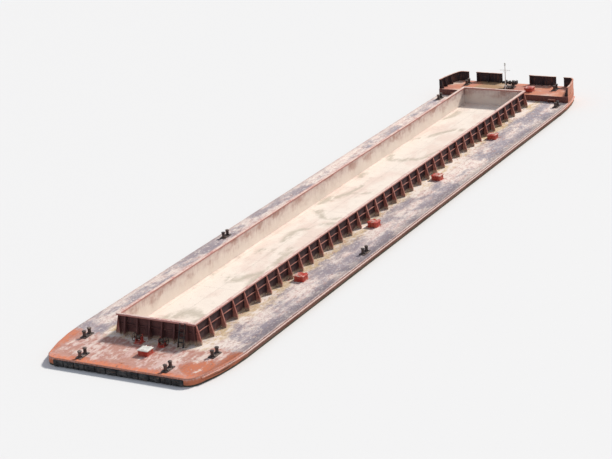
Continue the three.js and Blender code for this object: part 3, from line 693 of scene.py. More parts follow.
def leaveEdit():
    bpy.ops.object.mode_set(mode="OBJECT")


def choose(piece, kind, passes):  # in edit mode, only the faces, edges or corners that pass
    takeUp(piece)
    bpy.ops.object.mode_set(mode="EDIT")
    bpy.ops.mesh.select_mode(type=kind)
    bpy.ops.mesh.select_all(action="DESELECT")
    leaveEdit()
    mesh = piece.data
    for part in {"FACE": mesh.polygons, "EDGE": mesh.edges, "VERT": mesh.vertices}[kind]:
        part.select = passes(part)
    bpy.ops.object.mode_set(mode="EDIT")


def chooseFaces(piece, test):  # by the middle and the normal
    choose(piece, "FACE", lambda face: test(face.center, face.normal))


def choosePoints(piece, test):
    choose(piece, "VERT", lambda point: test(point.co))


def chooseEdges(piece, test):  # by the two ends together
    ends = lambda edge: (piece.data.vertices[index].co for index in edge.vertices)
    choose(piece, "EDGE", lambda edge: test(*ends(edge)))


def bevelEdges(piece, test, width, steps=1):
    chooseEdges(piece, test)
    bpy.ops.mesh.bevel(offset=width, segments=steps)
    leaveEdit()


def upright(a, b):  # the test for a block's standing edges
    return abs(a.z - b.z) > 0.9 * (a - b).length


def movePoints(piece, test, x=0.0, y=0.0, z=0.0):
    choosePoints(piece, test)
    bpy.ops.transform.translate(value=(x, y, z))
    leaveEdit()


def drawOut(high):  # extrudes the chosen faces upward
    bpy.ops.mesh.extrude_region_move(TRANSFORM_OT_translate={"value": (0, 0, high)})


def widen(x, y, z, middle):
    bpy.ops.transform.resize(value=(x, y, z), center_override=middle)


def insetFaces(piece, test, width):
    chooseFaces(piece, test)
    bpy.ops.mesh.inset(thickness=width, depth=0)
    leaveEdit()


def sliced(piece, axis, places, test=lambda middle, facing: True):
    # cuts across an axis at some places, right through the faces that pass
    normal = Vector([float(along == axis) for along in range(3)])
    for place in places:
        chooseFaces(piece, test)
        bpy.ops.mesh.bisect(plane_co=normal * place, plane_no=normal)
        leaveEdit()


def cleaned(piece, threshold=meshing["merge"]):  # doubles merged, then every normal turned outward
    takeUp(piece)
    bpy.ops.object.mode_set(mode="EDIT")
    bpy.ops.mesh.select_all(action="SELECT")
    bpy.ops.mesh.remove_doubles(threshold=threshold)
    bpy.ops.mesh.normals_make_consistent(inside=False)
    leaveEdit()
    return piece


def roundEdges(piece, width, steps=2, angle=35):
    applyModifier(
        piece,
        "BEVEL",
        width=width,
        segments=steps,
        limit_method="ANGLE",
        angle_limit=radians(angle),
        use_clamp_overlap=True,
    )
    return piece


def turned(name, profile, sides=32, axis="Z", place=(0, 0, 0)):
    # a round piece from (radius, height) pairs: a disc drawn out and widened from ring to ring
    deselectAll()
    radius, low = profile[0]
    bpy.ops.mesh.primitive_circle_add(
        vertices=sides, radius=radius, fill_type="NGON", location=(0, 0, low)
    )
    piece = fixed(name)
    bpy.ops.object.mode_set(mode="EDIT")
    bpy.ops.mesh.select_mode(type="FACE")
    bpy.ops.mesh.select_all(action="SELECT")
    for wide, high in profile[1:]:
        drawOut(high - low)
        widen(wide / radius, wide / radius, 1, (0, 0, high))
        radius, low = wide, high
    bpy.ops.mesh.select_all(action="SELECT")
    bpy.ops.mesh.normals_make_consistent(inside=False)
    leaveEdit()
    piece.rotation_euler = {"X": (0, pi / 2, 0), "Y": (-pi / 2, 0, 0), "Z": (0, 0, 0)}[axis]
    piece.location = place
    bpy.ops.object.transform_apply(location=True, rotation=True, scale=True)
    return piece


def ring(name, wide, thick, place, axis="Z", sides=32, round=8):
    deselectAll()
    bpy.ops.mesh.primitive_torus_add(
        major_radius=wide,
        minor_radius=thick,
        major_segments=sides,
        minor_segments=round,
        location=place,
        rotation={"X": (0, pi / 2, 0), "Y": (pi / 2, 0, 0), "Z": (0, 0, 0)}[axis],
    )
    return fixed(name)


def bentBar(name, path, radius, round=8):  # a round bar along a path of points
    curve = bpy.data.curves.new(name, "CURVE")
    curve.dimensions = "3D"
    curve.bevel_depth = radius
    curve.bevel_resolution = round // 4
    curve.use_fill_caps = True
    line = curve.splines.new("POLY")
    line.points.add(len(path) - 1)
    for point, place in zip(line.points, path):
        point.co = (*place, 1)
    bar = bpy.data.objects.new(name, curve)
    bpy.context.scene.collection.objects.link(bar)
    takeUp(bar)
    bpy.ops.object.convert(target="MESH")
    return cleaned(bpy.context.object)


def boltHeads(places, radius, high):
    profile = [(radius, 0), (radius, high * 0.7), (radius * 0.8, high)]
    return joined("bolts", [turned("bolt", profile, 6, "Z", place) for place in places])


def corners(at, x, y, z):  # the four places round the middle of a foot, and their height over it
    return [at + Vector((along, across, z)) for along in (-x, x) for across in (-y, y)]


def joined(name, pieces):
    takeUp(pieces[0])
    for piece in pieces[1:]:
        piece.select_set(True)
    if len(pieces) > 1:
        bpy.ops.object.join()
    whole = bpy.context.object
    whole.name = name
    whole.data.name = name
    return whole


def placed(piece, name, shift=(0, 0, 0), turn=0.0):  # a copy with its own mesh, turned about Z and moved
    takeUp(piece)
    bpy.ops.object.duplicate()
    copy = bpy.context.object
    copy.name = name
    copy.data.name = name
    copy.rotation_euler = (0, 0, turn)
    copy.location = shift
    bpy.ops.object.transform_apply(location=True, rotation=True, scale=True)
    return copy


def discard(*pieces):
    for piece in pieces:
        bpy.data.meshes.remove(piece.data)


def aroundShaft(piece, count, centre):  # copies of a piece turned about a shaft along Y, as one
    name = piece.name
    copies = []
    for step in range(count):
        takeUp(piece)
        bpy.ops.object.duplicate()
        turn = Matrix.Rotation(2 * pi * step / count, 4, "Y")
        copy = bpy.context.object
        copy.matrix_world = Matrix.Translation(centre) @ turn @ Matrix.Translation(-Vector(centre))
        bpy.ops.object.transform_apply(location=True, rotation=True, scale=True)
        copies.append(copy)
    discard(piece)
    return joined(name, copies)


def dent(piece, depth, size, level=0.5):
    clouds = bpy.data.textures.new(piece.name + ".dents", "CLOUDS")
    clouds.noise_scale = size
    clouds.noise_depth = 1
    applyModifier(piece, "DISPLACE", texture=clouds, texture_coords="LOCAL", strength=depth, mid_level=level)
    bpy.data.textures.remove(clouds)


def settle(piece, body, finish, nodes=None, angle=meshing["smooth"]):
    # a finished piece: its finish, its body and its nodes, as a rule the one that its name starts with
    takeUp(piece)
    bpy.ops.object.shade_smooth_by_angle(angle=radians(angle))
    piece.data.materials.clear()
    piece.data.materials.append(finishes[finish])
    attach(piece, body)
    if nodes is None:
        nodes = [piece.name.split(".")[0]]
    if nodes:
        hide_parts(*nodes)


def copyOf(name, nodes=None):  # the solids of some nodes as one mesh, with their flats made whole
    nodes = nodes or [name.split(".")[0]]
    copies = []
    for node in nodes:
        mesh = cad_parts[node].data.copy()
        copies.append(bpy.data.objects.new(name, mesh))
        bpy.context.scene.collection.objects.link(copies[-1])
    piece = joined(name, copies)
    takeUp(piece)
    bpy.ops.object.mode_set(mode="EDIT")
    bpy.ops.mesh.select_all(action="SELECT")
    bpy.ops.mesh.remove_doubles(threshold=meshing["merge"])
    if len(nodes) > 1:
        bpy.ops.mesh.select_all(action="DESELECT")
        bpy.ops.mesh.select_interior_faces()
        bpy.ops.mesh.delete(type="FACE")
        bpy.ops.mesh.select_all(action="SELECT")
    bpy.ops.mesh.dissolve_limited(angle_limit=meshing["flat"])
    leaveEdit()
    return piece


def middleOf(node):  # the middle of a node's foot
    low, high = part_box(node)
    return Vector(((low.x + high.x) / 2, (low.y + high.y) / 2, low.z))


sides = {"port": 1, "starboard": -1}
hatchNames = [f"{side}_{number}" for side in sides for number in (1, 2, 3, 4)] + ["stern", "forepeak"]

hatchShape = {
    "half": 0.2,
    "wall": 0.025,
    "height": 0.18,
    "corner": 0.03,
    "rim": 0.03,  # the height of the thicker band at the top
    "rimOut": 0.008,
    "round": 0.003,
    "foot": 0.02,  # how far the weld foot stands out
    "footThick": 0.008,
    "footWide": 0.04,
    "well": 0.45,
    "wellReach": 1.2,  # how far round the hatch the deck is cut for the well
    "toggles": 0.1,  # to either side of the middle
    "toggleOut": 0.011,
    "lug": ((-0.014, 0, 0.105), (0.014, 0.012, 0.13)),
    "bolt": [(0.005, 0.115), (0.005, 0.2)],
    "nut": [(0.011, 0.182), (0.011, 0.192), (0.008, 0.196)],
}


def hatchPlace(name):  # the middle of a coaming at its foot
    low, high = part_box("hatch_coaming_" + name)
    return Vector((low.x + hatchShape["half"], (low.y + high.y) / 2, low.z))


def sinkWell(piece, name):  # the square hole under a hatch, with its trunk
    half = hatchShape["half"] - hatchShape["wall"]
    at = hatchPlace(name)
    near = lambda middle, facing: facing.z > 0.9 and abs(middle.z - at.z) < 0.05
    close = lambda middle, facing: near(middle, facing) and (middle - at).length < hatchShape["wellReach"]
    sliced(piece, 0, (at.x - half, at.x + half), close)
    sliced(piece, 1, (at.y - half, at.y + half), close)
    inside = lambda middle: max(abs(middle.x - at.x), abs(middle.y - at.y)) < half
    chooseFaces(piece, lambda middle, facing: near(middle, facing) and inside(middle))
    drawOut(-hatchShape["well"])
    leaveEdit()


hullShape = {
    "round": 0.014,
    "cornersFrom": 17.5,  # the standing edges past this at either end are rounded into one curve
    "cornerRound": 0.05,
    "shortest": 0.0005,  # of the edges that this rounding leaves
    "frames": 0.5,  # between the cuts along the hull
    "strakes": 0.5,  # between the cuts across it
    "dent": 0.009,
    "dentSize": 0.7,
    "inward": 0.85,  # the share of the dents that goes in
    "edgeBar": 0.03,
    "edgeHigh": 0.012,
}


def makeHull():
    shape = hullShape
    nodes = ("hull_stern", "hull_midbody", "hull_bow")
    hull = copyOf("hull", nodes)
    corner = lambda a, b: upright(a, b) and min(abs(a.x), abs(b.x)) > shape["cornersFrom"]
    bevelEdges(hull, corner, shape["cornerRound"], 3)
    cleaned(hull, shape["shortest"])
    roundEdges(hull, shape["round"])
    onDeck = lambda middle, facing: facing.z > 0.9 and middle.z > deckHeight - 0.001
    insetFaces(hull, onDeck, shape["edgeBar"])
    within = {tuple(face.center) for face in hull.data.polygons if face.select}
    chooseFaces(hull, lambda middle, facing: onDeck(middle, facing) and tuple(middle) not in within)
    drawOut(shape["edgeHigh"])
    leaveEdit()
    low, high = cadBox
    count = int((high[0] - low[0]) / shape["frames"])
    sliced(hull, 0, [low[0] + step * shape["frames"] for step in range(1, count)])
    across = int(high[1] / shape["strakes"])
    sliced(hull, 1, [step * shape["strakes"] for step in range(-across, across + 1)])
    sliced(hull, 2, (deckHeight / 3, deckHeight * 2 / 3))
    dent(hull, shape["dent"], shape["dentSize"], shape["inward"])
    for name in hatchNames[:-1]:
        sinkWell(hull, name)
    settle(hull, "barge", "hull", nodes)


forecastleShape = {
    "round": 0.01,
    "aft": 16.0,
    "cell": 0.25,
    "cellsAlong": 8,
    "cellsAcross": 14,  # on each side of the middle
    "dent": 0.006,
    "dentSize": 0.5,
    "inward": 0.85,
}


def makeForecastle():
    shape = forecastleShape
    fore = roundEdges(copyOf("forecastle_deck", ["forecastle"]), shape["round"])
    along, across = shape["cellsAlong"], shape["cellsAcross"]
    sliced(fore, 0, [shape["aft"] + step * shape["cell"] for step in range(1, along)])
    sliced(fore, 1, [step * shape["cell"] for step in range(1 - across, across)])
    dent(fore, shape["dent"], shape["dentSize"], shape["inward"])
    sinkWell(fore, "forepeak")
    settle(fore, "barge", "foreDeck", ["forecastle"])


wallShape = {
    "sideRibs": 38,
    "endRibs": 6,
    "endRibsFrom": -1.2875,
    "plate": 0.02,
    "plateCells": 4,  # in each bay
    "bulge": 0.01,  # of the plate between its ribs
    "dent": 0.016,
    "dentSize": 0.5,
    "end": (-0.006, 0.016),  # the inner and outer face of the plate past the last rib
    "railOut": 0.1,
    "railDeep": 0.07,
    "railRound": 0.014,
    "railCell": 0.4,
    "railDent": 0.008,
    "railDentSize": 0.8,
    "railInward": 0.6,
    "stringerLow": 0.41,
    "stringerOut": 0.07,
    "stringerThick": 0.025,
    "stringerTaper": 0.12,
    "stringerRound": 0.004,
    "web": 0.014,
    "foot": 0.24,
    "head": 0.07,
    "toe": 0.07,
    "intoRail": 0.005,
    "flange": 0.062,
    "flangeThick": 0.014,
    "flangeRound": 0.002,
    "snipe": 0.03,
}


def slopedPlate(name, half, near, far):  # along a rib's outer edge: upright at the toe, then leaning in
    shape = wallShape
    top = binTop - shape["railDeep"] + shape["intoRail"]
    plate = block(name, (-half, near, deckHeight), (half, far, top))
    sliced(plate, 2, [deckHeight + shape["toe"]])
    head = lambda point: point.z > top - 0.001 and point.y > 0.1
    movePoints(plate, head, y=shape["head"] - shape["foot"])
    return plate


def makeRib():
    shape = wallShape
    thick = shape["flangeThick"]
    web = slopedPlate("web", shape["web"] / 2, shape["plate"] / 2, shape["foot"] - thick / 2)
    foot = lambda a, b: max(a.z, b.z) < deckHeight + 0.001 and max(a.y, b.y) < 0.1
    bevelEdges(web, foot, shape["snipe"], 3)
    flange = slopedPlate("flange", shape["flange"] / 2, shape["foot"] - thick, shape["foot"])
    return joined("rib", [web, roundEdges(flange, shape["flangeRound"], 1)])


def makePlating(ribsFrom, ribCount):  # a thin sheet that bulges between its ribs
    shape = wallShape
    pitch = -2 * ribsFrom / (ribCount - 1)
    high = binTop - deckHeight - shape["railDeep"] / 2
    deselectAll()
    bpy.ops.mesh.primitive_grid_add(
        x_subdivisions=(ribCount - 1) * shape["plateCells"],
        y_subdivisions=shape["plateCells"],
        size=1,
        rotation=(pi / 2, 0, 0),
        location=(0, 0, deckHeight + high / 2),
    )
    bpy.context.object.scale = (-2 * ribsFrom, high, 1)
    plate = fixed("plate")

    def midBay(point):
        step = (point.x - ribsFrom) / pitch
        level = abs(abs(point.z - deckHeight - high / 2) - high / 4) < 0.01
        return level and abs(step - round(step)) > 0.2

    movePoints(plate, midBay, y=shape["bulge"])
    applyModifier(plate, "SUBSURF", levels=1, render_levels=1, boundary_smooth="PRESERVE_CORNERS")
    dent(plate, shape["dent"], shape["dentSize"])
    applyModifier(plate, "SOLIDIFY", thickness=shape["plate"], offset=0)
    return plate


def makeWall(long, plateLong, ribsFrom, ribCount):
    # along X, its inner face on Y = 0 and its ribs towards +Y
    shape = wallShape
    pitch = -2 * ribsFrom / (ribCount - 1)
    pieces = [makePlating(ribsFrom, ribCount)]
    inner, outer = shape["end"]
    top = binTop - shape["railDeep"] / 2
    for near, far in ((-plateLong / 2, ribsFrom), (-ribsFrom, plateLong / 2)):
        pieces.append(block("end", (near, inner, deckHeight), (far, outer, top)))
    railLow = (-long / 2, -railInside, binTop - shape["railDeep"])
    rail = roundEdges(block("rail", railLow, (long / 2, shape["railOut"], binTop)), shape["railRound"], 3)
    cell = shape["railCell"]
    sliced(rail, 0, [-long / 2 + step * cell for step in range(1, int(long / cell))])
    dent(rail, shape["railDent"], shape["railDentSize"], shape["railInward"])
    low = deckHeight + shape["stringerLow"]
    high = low + shape["stringerThick"]
    stringer = block("stringer", (-plateLong / 2, 0, low), (plateLong / 2, shape["stringerOut"], high))
    taper = plateLong / 2 - shape["stringerTaper"]
    sliced(stringer, 0, (-taper, taper))
    tips = lambda point: abs(point.x) > plateLong / 2 - 0.001 and point.y > 0.05
    movePoints(stringer, tips, y=shape["plate"] - shape["stringerOut"])
    roundEdges(stringer, shape["stringerRound"])
    rib = makeRib()
    rib.location.x = ribsFrom
    takeUp(rib)
    bpy.ops.object.transform_apply(location=True)
    repeated(rib, ribCount, (pitch, 0, 0))
    return cleaned(joined("wall", [*pieces, rail, stringer, rib]))


def makeBin():
    shape = wallShape
    low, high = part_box("bin_wall_port")
    long = high.x - low.x
    sideWall = makeWall(long, long, (binAft - binFore) / 2, shape["sideRibs"])
    endWall = makeWall(2 * (binHalf - railInside), 2 * binHalf, shape["endRibsFrom"], shape["endRibs"])
    middle = (low.x + high.x) / 2
    walls = {
        "port": (sideWall, (middle, binHalf, 0), 0.0),
        "starboard": (sideWall, (middle, -binHalf, 0), pi),
        "aft": (endWall, (binAft - railInside, 0, 0), pi / 2),
        "fore": (endWall, (binFore + railInside, 0, 0), -pi / 2),
    }
    for name, (wall, shift, turn) in walls.items():
        settle(placed(wall, f"bin_wall_{name}.steelwork", shift, turn), "barge", "bin")
    discard(sideWall, endWall)


def makeToggle():  # a swing bolt that clamps the lid, on the side that faces +Y
    shape = hatchShape
    lug = block("lug", *shape["lug"], (0, shape["half"], 0))
    place = (0, shape["half"] + shape["toggleOut"], 0)
    bolt = turned("bolt", shape["bolt"], 8, "Z", place)
    nut = turned("nut", shape["nut"], 6, "Z", place)
    return joined("toggle", [lug, bolt, nut])


hingeShape = {
    "ahead": 0.245,
    "high": 0.1953,
    "radius": 0.0175,
    "apart": 0.1,  # from the middle
    "earInto": 0.005,  # how far an ear goes into the coaming
    "ears": (-0.036, 0.021),  # where the two ears start
    "earThick": 0.015,
    "earDrop": (-0.095, -0.05),  # the arm of an ear, under the pin
    "toe": 0.035,
    "pin": [(0.01, -0.046), (0.011, -0.043), (0.011, -0.037), (0.011, 0.037), (0.011, 0.043), (0.01, 0.046)],
    "knuckle": 0.015,  # half its width
    "strapAft": 0.05,
    "strap": (-0.004, 0.006),  # under and over the lid's top
    "strapRound": 0.002,
    "neckAft": 0.01,
    "neckLow": 0.008,
    "bolts": (0.075, 0.15),
    "bolt": (0.007, 0.005),
}


def makeHinge(side):  # the two ears on the coaming and the pin through them
    shape = hingeShape
    ahead, high, radius = shape["ahead"], shape["high"], shape["radius"]
    aft = hatchShape["half"] - shape["earInto"]
    under, over = shape["earDrop"]
    toe = lambda a, b: min(a.x, b.x) > ahead + radius - 0.001 and max(a.z, b.z) < high - 0.09
    tip = lambda a, b: min(a.z, b.z) > high + radius - 0.001 and abs(a.y - b.y) > 0.005
    pieces = []
    for start in shape["ears"]:
        near = side + start
        far = near + shape["earThick"]
        ear = block("ear", (aft, near, high + under), (ahead + radius, far, high + over))
        sliced(ear, 0, [ahead - radius])
        chooseFaces(ear, lambda middle, facing: facing.z > 0.9 and middle.x > ahead - radius)
        drawOut(radius - over)
        leaveEdit()
        bevelEdges(ear, toe, shape["toe"])
        bevelEdges(ear, tip, radius * 0.95, 4)
        pieces.append(cleaned(ear))
    return [*pieces, turned("pin", shape["pin"], 12, "Y", (ahead, side, high))]


def openThrough(piece, width):  # a square hole right through a block, a width inside its edge
    core = lambda middle, facing: abs(facing.z) > 0.9 and middle.xy.length < 0.05
    insetFaces(piece, core, width)
    chooseFaces(piece, core)
    bpy.ops.mesh.bridge_edge_loops()
    leaveEdit()


def makeCoaming():
    shape = hatchShape
    half, high = shape["half"], shape["height"]
    frameBox = block("coaming", (-half, -half, 0), (half, half, high))
    bevelEdges(frameBox, upright, shape["corner"], 4)
    rimLow = high - shape["rim"]
    sliced(frameBox, 2, [rimLow])
    chooseFaces(frameBox, lambda middle, facing: abs(facing.z) < 0.1 and middle.z > rimLow)
    bpy.ops.mesh.extrude_region_shrink_fatten(TRANSFORM_OT_shrink_fatten={"value": shape["rimOut"]})
    leaveEdit()
    openThrough(frameBox, shape["wall"])
    roundEdges(frameBox, shape["round"], 2, 50)
    wide = half + shape["foot"]
    foot = block("foot", (-wide, -wide, 0), (wide, wide, shape["footThick"]))
    openThrough(foot, shape["footWide"])
    pieces = [frameBox, foot]
    toggle = makeToggle()
    for turn in (0, pi / 2, pi):
        for along in (-shape["toggles"], shape["toggles"]):
            shift = Matrix.Rotation(turn, 3, "Z") @ Vector((along, 0, 0))
            pieces.append(placed(toggle, "toggle", shift, turn))
    discard(toggle)
    for side in (-hingeShape["apart"], hingeShape["apart"]):
        pieces += makeHinge(side)
    return joined("coaming", pieces)


lidShape = {
    "aft": -0.22,
    "fore": 0.195,
    "half": 0.22,
    "low": 0.1803,
    "high": 0.2103,
    "round": 0.004,
    "panel": [(0.86, 0), (0.94, 0.008), (0.7, 0), (0.9, -0.006)],  # the pressed steps: share, rise
    "gripAt": -0.145,
    "gripHalf": 0.055,
    "gripRise": 0.028,
    "gripOver": 0.002,
    "gripInto": 0.002,
    "gripRadius": 0.0065,
    "gripBends": 12,
    "seat": [(0.013, 0), (0.013, 0.004), (0.009, 0.009)],
}


def makeGrip():  # a bar bent to a handle, on two seats
    shape = lidShape
    along, half, bends = shape["gripAt"], shape["gripHalf"], shape["gripBends"]
    top = shape["high"] + shape["gripOver"]
    foot = shape["high"] - shape["gripInto"]
    path = [(along, half, foot)]
    for step in range(bends + 1):
        turn = pi * step / bends
        path.append((along, half * cos(turn), top + shape["gripRise"] * sin(turn) ** 0.5))
    path.append((along, -half, foot))
    pieces = [bentBar("grip", path, shape["gripRadius"])]
    for y in (-half, half):
        pieces.append(turned("seat", shape["seat"], 12, "Z", (along, y, shape["high"])))
    return pieces


def makeLid():
    shape = lidShape
    hinge = hingeShape
    low, high, half = shape["low"], shape["high"], shape["half"]
    plate = block("plate", (shape["aft"], -half, low), (shape["fore"], half, high))
    bevelEdges(plate, lambda a, b: upright(a, b) and a.x < 0, hatchShape["corner"], 4)
    chooseFaces(plate, lambda middle, facing: facing.z > 0.9)
    for share, rise in shape["panel"]:
        drawOut(rise)
        widen(share, share, 1, ((shape["aft"] + shape["fore"]) / 2, 0, high))
    leaveEdit()
    pieces = [roundEdges(plate, shape["round"], 2, 40), *makeGrip()]
    ahead, wide = hinge["ahead"], hinge["knuckle"]
    under, over = hinge["strap"]
    for side in (-hinge["apart"], hinge["apart"]):
        strapLow = (hinge["strapAft"], side - wide, high + under)
        strap = block("strap", strapLow, (ahead, side + wide, high + over))
        pieces.append(roundEdges(strap, hinge["strapRound"]))
        neckLow = (shape["fore"] - hinge["neckAft"], side - wide, low + hinge["neckLow"])
        pieces.append(block("neck", neckLow, (ahead, side + wide, high)))
        knuckle = [(hinge["radius"], -wide), (hinge["radius"], wide)]
        pieces.append(turned("knuckle", knuckle, 24, "Y", (ahead, side, hinge["high"])))
        pieces.append(boltHeads([(x, side, high + over) for x in hinge["bolts"]], *hinge["bolt"]))
    return joined("lid", pieces)


def makeHatches():
    coaming = makeCoaming()
    lid = makeLid()
    for name in hatchNames:
        at = hatchPlace(name)
        settle(placed(coaming, f"hatch_coaming_{name}.welded", at), "barge", "redGear")
        finish = "paleGear" if name == "stern" else "redGear"
        settle(placed(lid, f"hatch_lid_{name}.plate", at), "lid_" + name, finish)
    discard(coaming, lid)


bollardShape = {
    "spread": 0.31,
    "base": (0.2875, 0.125, 0.025),
    "corner": 0.03,
    "round": 0.004,
    "post": [(0.07, 0.02), (0.063, 0.034), (0.06, 0.045), (0.06, 0.185), (0.066, 0.196), (0.078, 0.208),
             (0.08, 0.214), (0.08, 0.234), (0.077, 0.243), (0.066, 0.249), (0.03, 0.25)],
    "gusset": ((0.055, -0.005, -0.002), (0.105, 0.005, 0.06)),
    "gussetFall": 0.045,
}


def makeBollards():
    shape = bollardShape
    long, wide, thick = shape["base"]
    base = block("base", (-long, -wide, 0), (long, wide, thick))
    bevelEdges(base, upright, shape["corner"], 4)
    pieces = [roundEdges(base, shape["round"])]
    gusset = block("gusset", *shape["gusset"], (0, 0, thick))
    tip = lambda point: point.x > 0.06 and point.z > thick + 0.02
    movePoints(gusset, tip, z=-shape["gussetFall"])
    for side in (-1, 1):
        place = (side * shape["spread"] / 2, 0, 0)
        pieces.append(turned("post", shape["post"], 40, "Z", place))
        for turn in (0 if side > 0 else pi, pi / 2, -pi / 2):
            pieces.append(placed(gusset, "gusset", place, turn))
    discard(gusset)
    bollard = joined("bollard", pieces)
    for node in sorted(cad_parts):
        if node.startswith("bollard"):
            settle(placed(bollard, node + ".cast", middleOf(node)), "barge", "castIron")
    discard(bollard)


fenderShape = {
    "blocks": 12,
    "gap": 0.03,
    "round": 0.05,
    "bolts": 0.055,  # above and below the middle
    "hole": 0.03,
    "holeOut": 0.01,
    "sunk": 0.025,
    "washer": [(0.024, -0.003), (0.024, 0.003), (0.021, 0.004)],
    "head": [(0.013, 0.003), (0.013, 0.012), (0.01, 0.014)],
    "backing": (-0.006, 0.01),  # the plate behind the blocks, from the hull's face outward
    "backingEdge": 0.01,
}


def makeFender(node):  # rubber blocks in a row, each with a rounded face and two sunk bolts
    shape = fenderShape
    low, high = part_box(node)
    out = 1 if high.x > 0 else -1
    inner, outer = (low.x, high.x) if out > 0 else (high.x, low.x)
    pitch = (high.y - low.y) / shape["blocks"]
    first = low.y + shape["gap"] / 2
    near = (min(inner, outer), first, low.z)
    rubber = block("rubber", near, (max(inner, outer), first + pitch - shape["gap"], high.z))
    face = lambda a, b: abs(a.x - outer) + abs(b.x - outer) < 0.001
    bevelEdges(rubber, face, shape["round"], 5)
    for up in (-shape["bolts"], shape["bolts"]):
        at = (outer, first + pitch / 2, (low.z + high.z) / 2 + up)
        hole = [(shape["hole"], -out * shape["sunk"]), (shape["hole"], out * shape["holeOut"])]
        hole = turned("hole", hole, 24, "X", at)
        applyModifier(rubber, "BOOLEAN", object=hole, operation="DIFFERENCE", solver="EXACT")
        discard(hole)
        for name, count in (("washer", 16), ("head", 6)):
            profile = [(radius, out * (rise - shape["sunk"])) for radius, rise in shape[name]]
            rubber = joined("rubber", [rubber, turned(name, profile, count, "X", at)])
    repeated(rubber, shape["blocks"], (0, pitch, 0))
    backing = [inner + out * step for step in shape["backing"]]
    edge = shape["backingEdge"]
    plate = block("plate", (min(backing), low.y, low.z + edge), (max(backing), high.y, high.z - edge))
    settle(joined(node + ".rubber", [rubber, plate]), "barge", "rubber")


bulwarkShape = {"round": 0.004, "cells": 0.17, "dent": 0.01, "dentSize": 0.35}


def makeBulwark(node):
    shape = bulwarkShape
    piece = roundEdges(copyOf(node + ".plating"), shape["round"])
    low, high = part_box(node)
    for axis in range(3):
        long = high[axis] - low[axis]
        count = int(long / shape["cells"])
        sliced(piece, axis, [low[axis] + long * step / count for step in range(1, count)])
    dent(piece, shape["dent"], shape["dentSize"])
    settle(piece, "barge", "bulwark")


strakeShape = {
    "rubbing_strake": (0.024, 4),  # the round of its edges, and its steps
    "skeg": (0.012, 2),
    "smooth": 50,  # degrees
}


def makeStrakes():
    for side in sides:
        for part in ("rubbing_strake", "skeg"):
            piece = roundEdges(copyOf(f"{part}_{side}.welded"), *strakeShape[part])
            settle(piece, "barge", "hull", angle=strakeShape["smooth"])


ladderShape = {
    "round": 0.003,
    "footIn": (0.03, 0.015),  # from the ladder's corners to the middle of its foot pads
    "pad": ((-0.045, -0.03, 0), (0.045, 0.03, 0.006)),
    "bolts": (-0.03, 0.06),
    "bolt": (0.008, 0.006),
}


def makeLadder():
    shape = ladderShape
    pieces = [roundEdges(copyOf("bin_ladder.bars"), shape["round"])]
    low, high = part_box("bin_ladder")
    inX, inY = shape["footIn"]
    for y in (low.y + inY, high.y - inY):
        foot = Vector((low.x + inX, y, low.z))
        pieces.append(block("foot", *shape["pad"], foot))
        top = Vector((0, 0, shape["pad"][1][2]))
        places = [foot + top + Vector((x, 0, 0)) for x in shape["bolts"]]
        pieces.append(boltHeads(places, *shape["bolt"]))
    settle(joined("bin_ladder.bars", pieces), "barge", "blackGear")


windlassShape = {
    "shaftHigh": 0.26,
    "round": 0.004,
    "bolts": ((0.17, 0.235, 0.03), (0.06, 0.235, 0.03)),
    "bolt": (0.011, 0.009),
    "ties": (-0.12, 0.12),
    "tieHigh": 0.07,
    "tie": [(0.011, -0.21), (0.011, 0.21)],
    "brakeAt": 0.1655,
    "band": ((0.1305, -0.011), (0.137, 0.011)),  # the radius and the height of its two edges
    "bandSweep": radians(320),
    "bandStart": radians(110),
    "bandSteps": 40,
    "screwAt": (-0.15, 0, -0.1),
    "screw": [(0.007, 0), (0.007, 0.16), (0.012, 0.16), (0.012, 0.175)],
    "crank": ((-0.2, -0.006, 0.072), (-0.1, 0.006, 0.084)),
    "crankRound": 0.003,
    "knobAt": (-0.195, 0, 0.08),
    "knob": [(0.008, 0), (0.011, 0.012), (0.011, 0.035), (0.007, 0.042)],
    "foot": ((-0.17, -0.014, -0.235), (-0.13, 0.014, -0.09)),
    "bossAt": 0.2325,
    "boss": [(0.05, 0), (0.05, 0.006), (0.044, 0.009)],
    "wheel": [(0.075, 0), (0.08, 0.012), (0.098, 0.03), (0.108, 0.036), (0.11, 0.042), (0.108, 0.048),
              (0.05, 0.06)],
    "brake": [(0.05, 0.1275), (0.124, 0.15), (0.13, 0.153), (0.13, 0.1775), (0.03, 0.1775)],
    "warping": [(0.03, 0.2425), (0.078, 0.2425), (0.082, 0.247), (0.078, 0.254), (0.064, 0.268),
                (0.056, 0.285), (0.055, 0.315), (0.058, 0.345), (0.066, 0.365), (0.08, 0.38),
                (0.082, 0.387), (0.076, 0.3925)],
    "whelps": 6,
    "whelp": ((0.07, -0.034, -0.009), (0.1, 0.034, 0.009)),
    "whelpTop": (1, 1.1, 0.6),
    "whelpRound": 0.003,
    "ribs": 6,
    "rib": ((0.05, -0.054, -0.007), (0.068, 0.054, 0.007)),
    "ribAt": 0.316,
    "nutAt": 0.388,
    "nut": [(0.022, 0), (0.022, 0.012), (0.018, 0.016)],
}


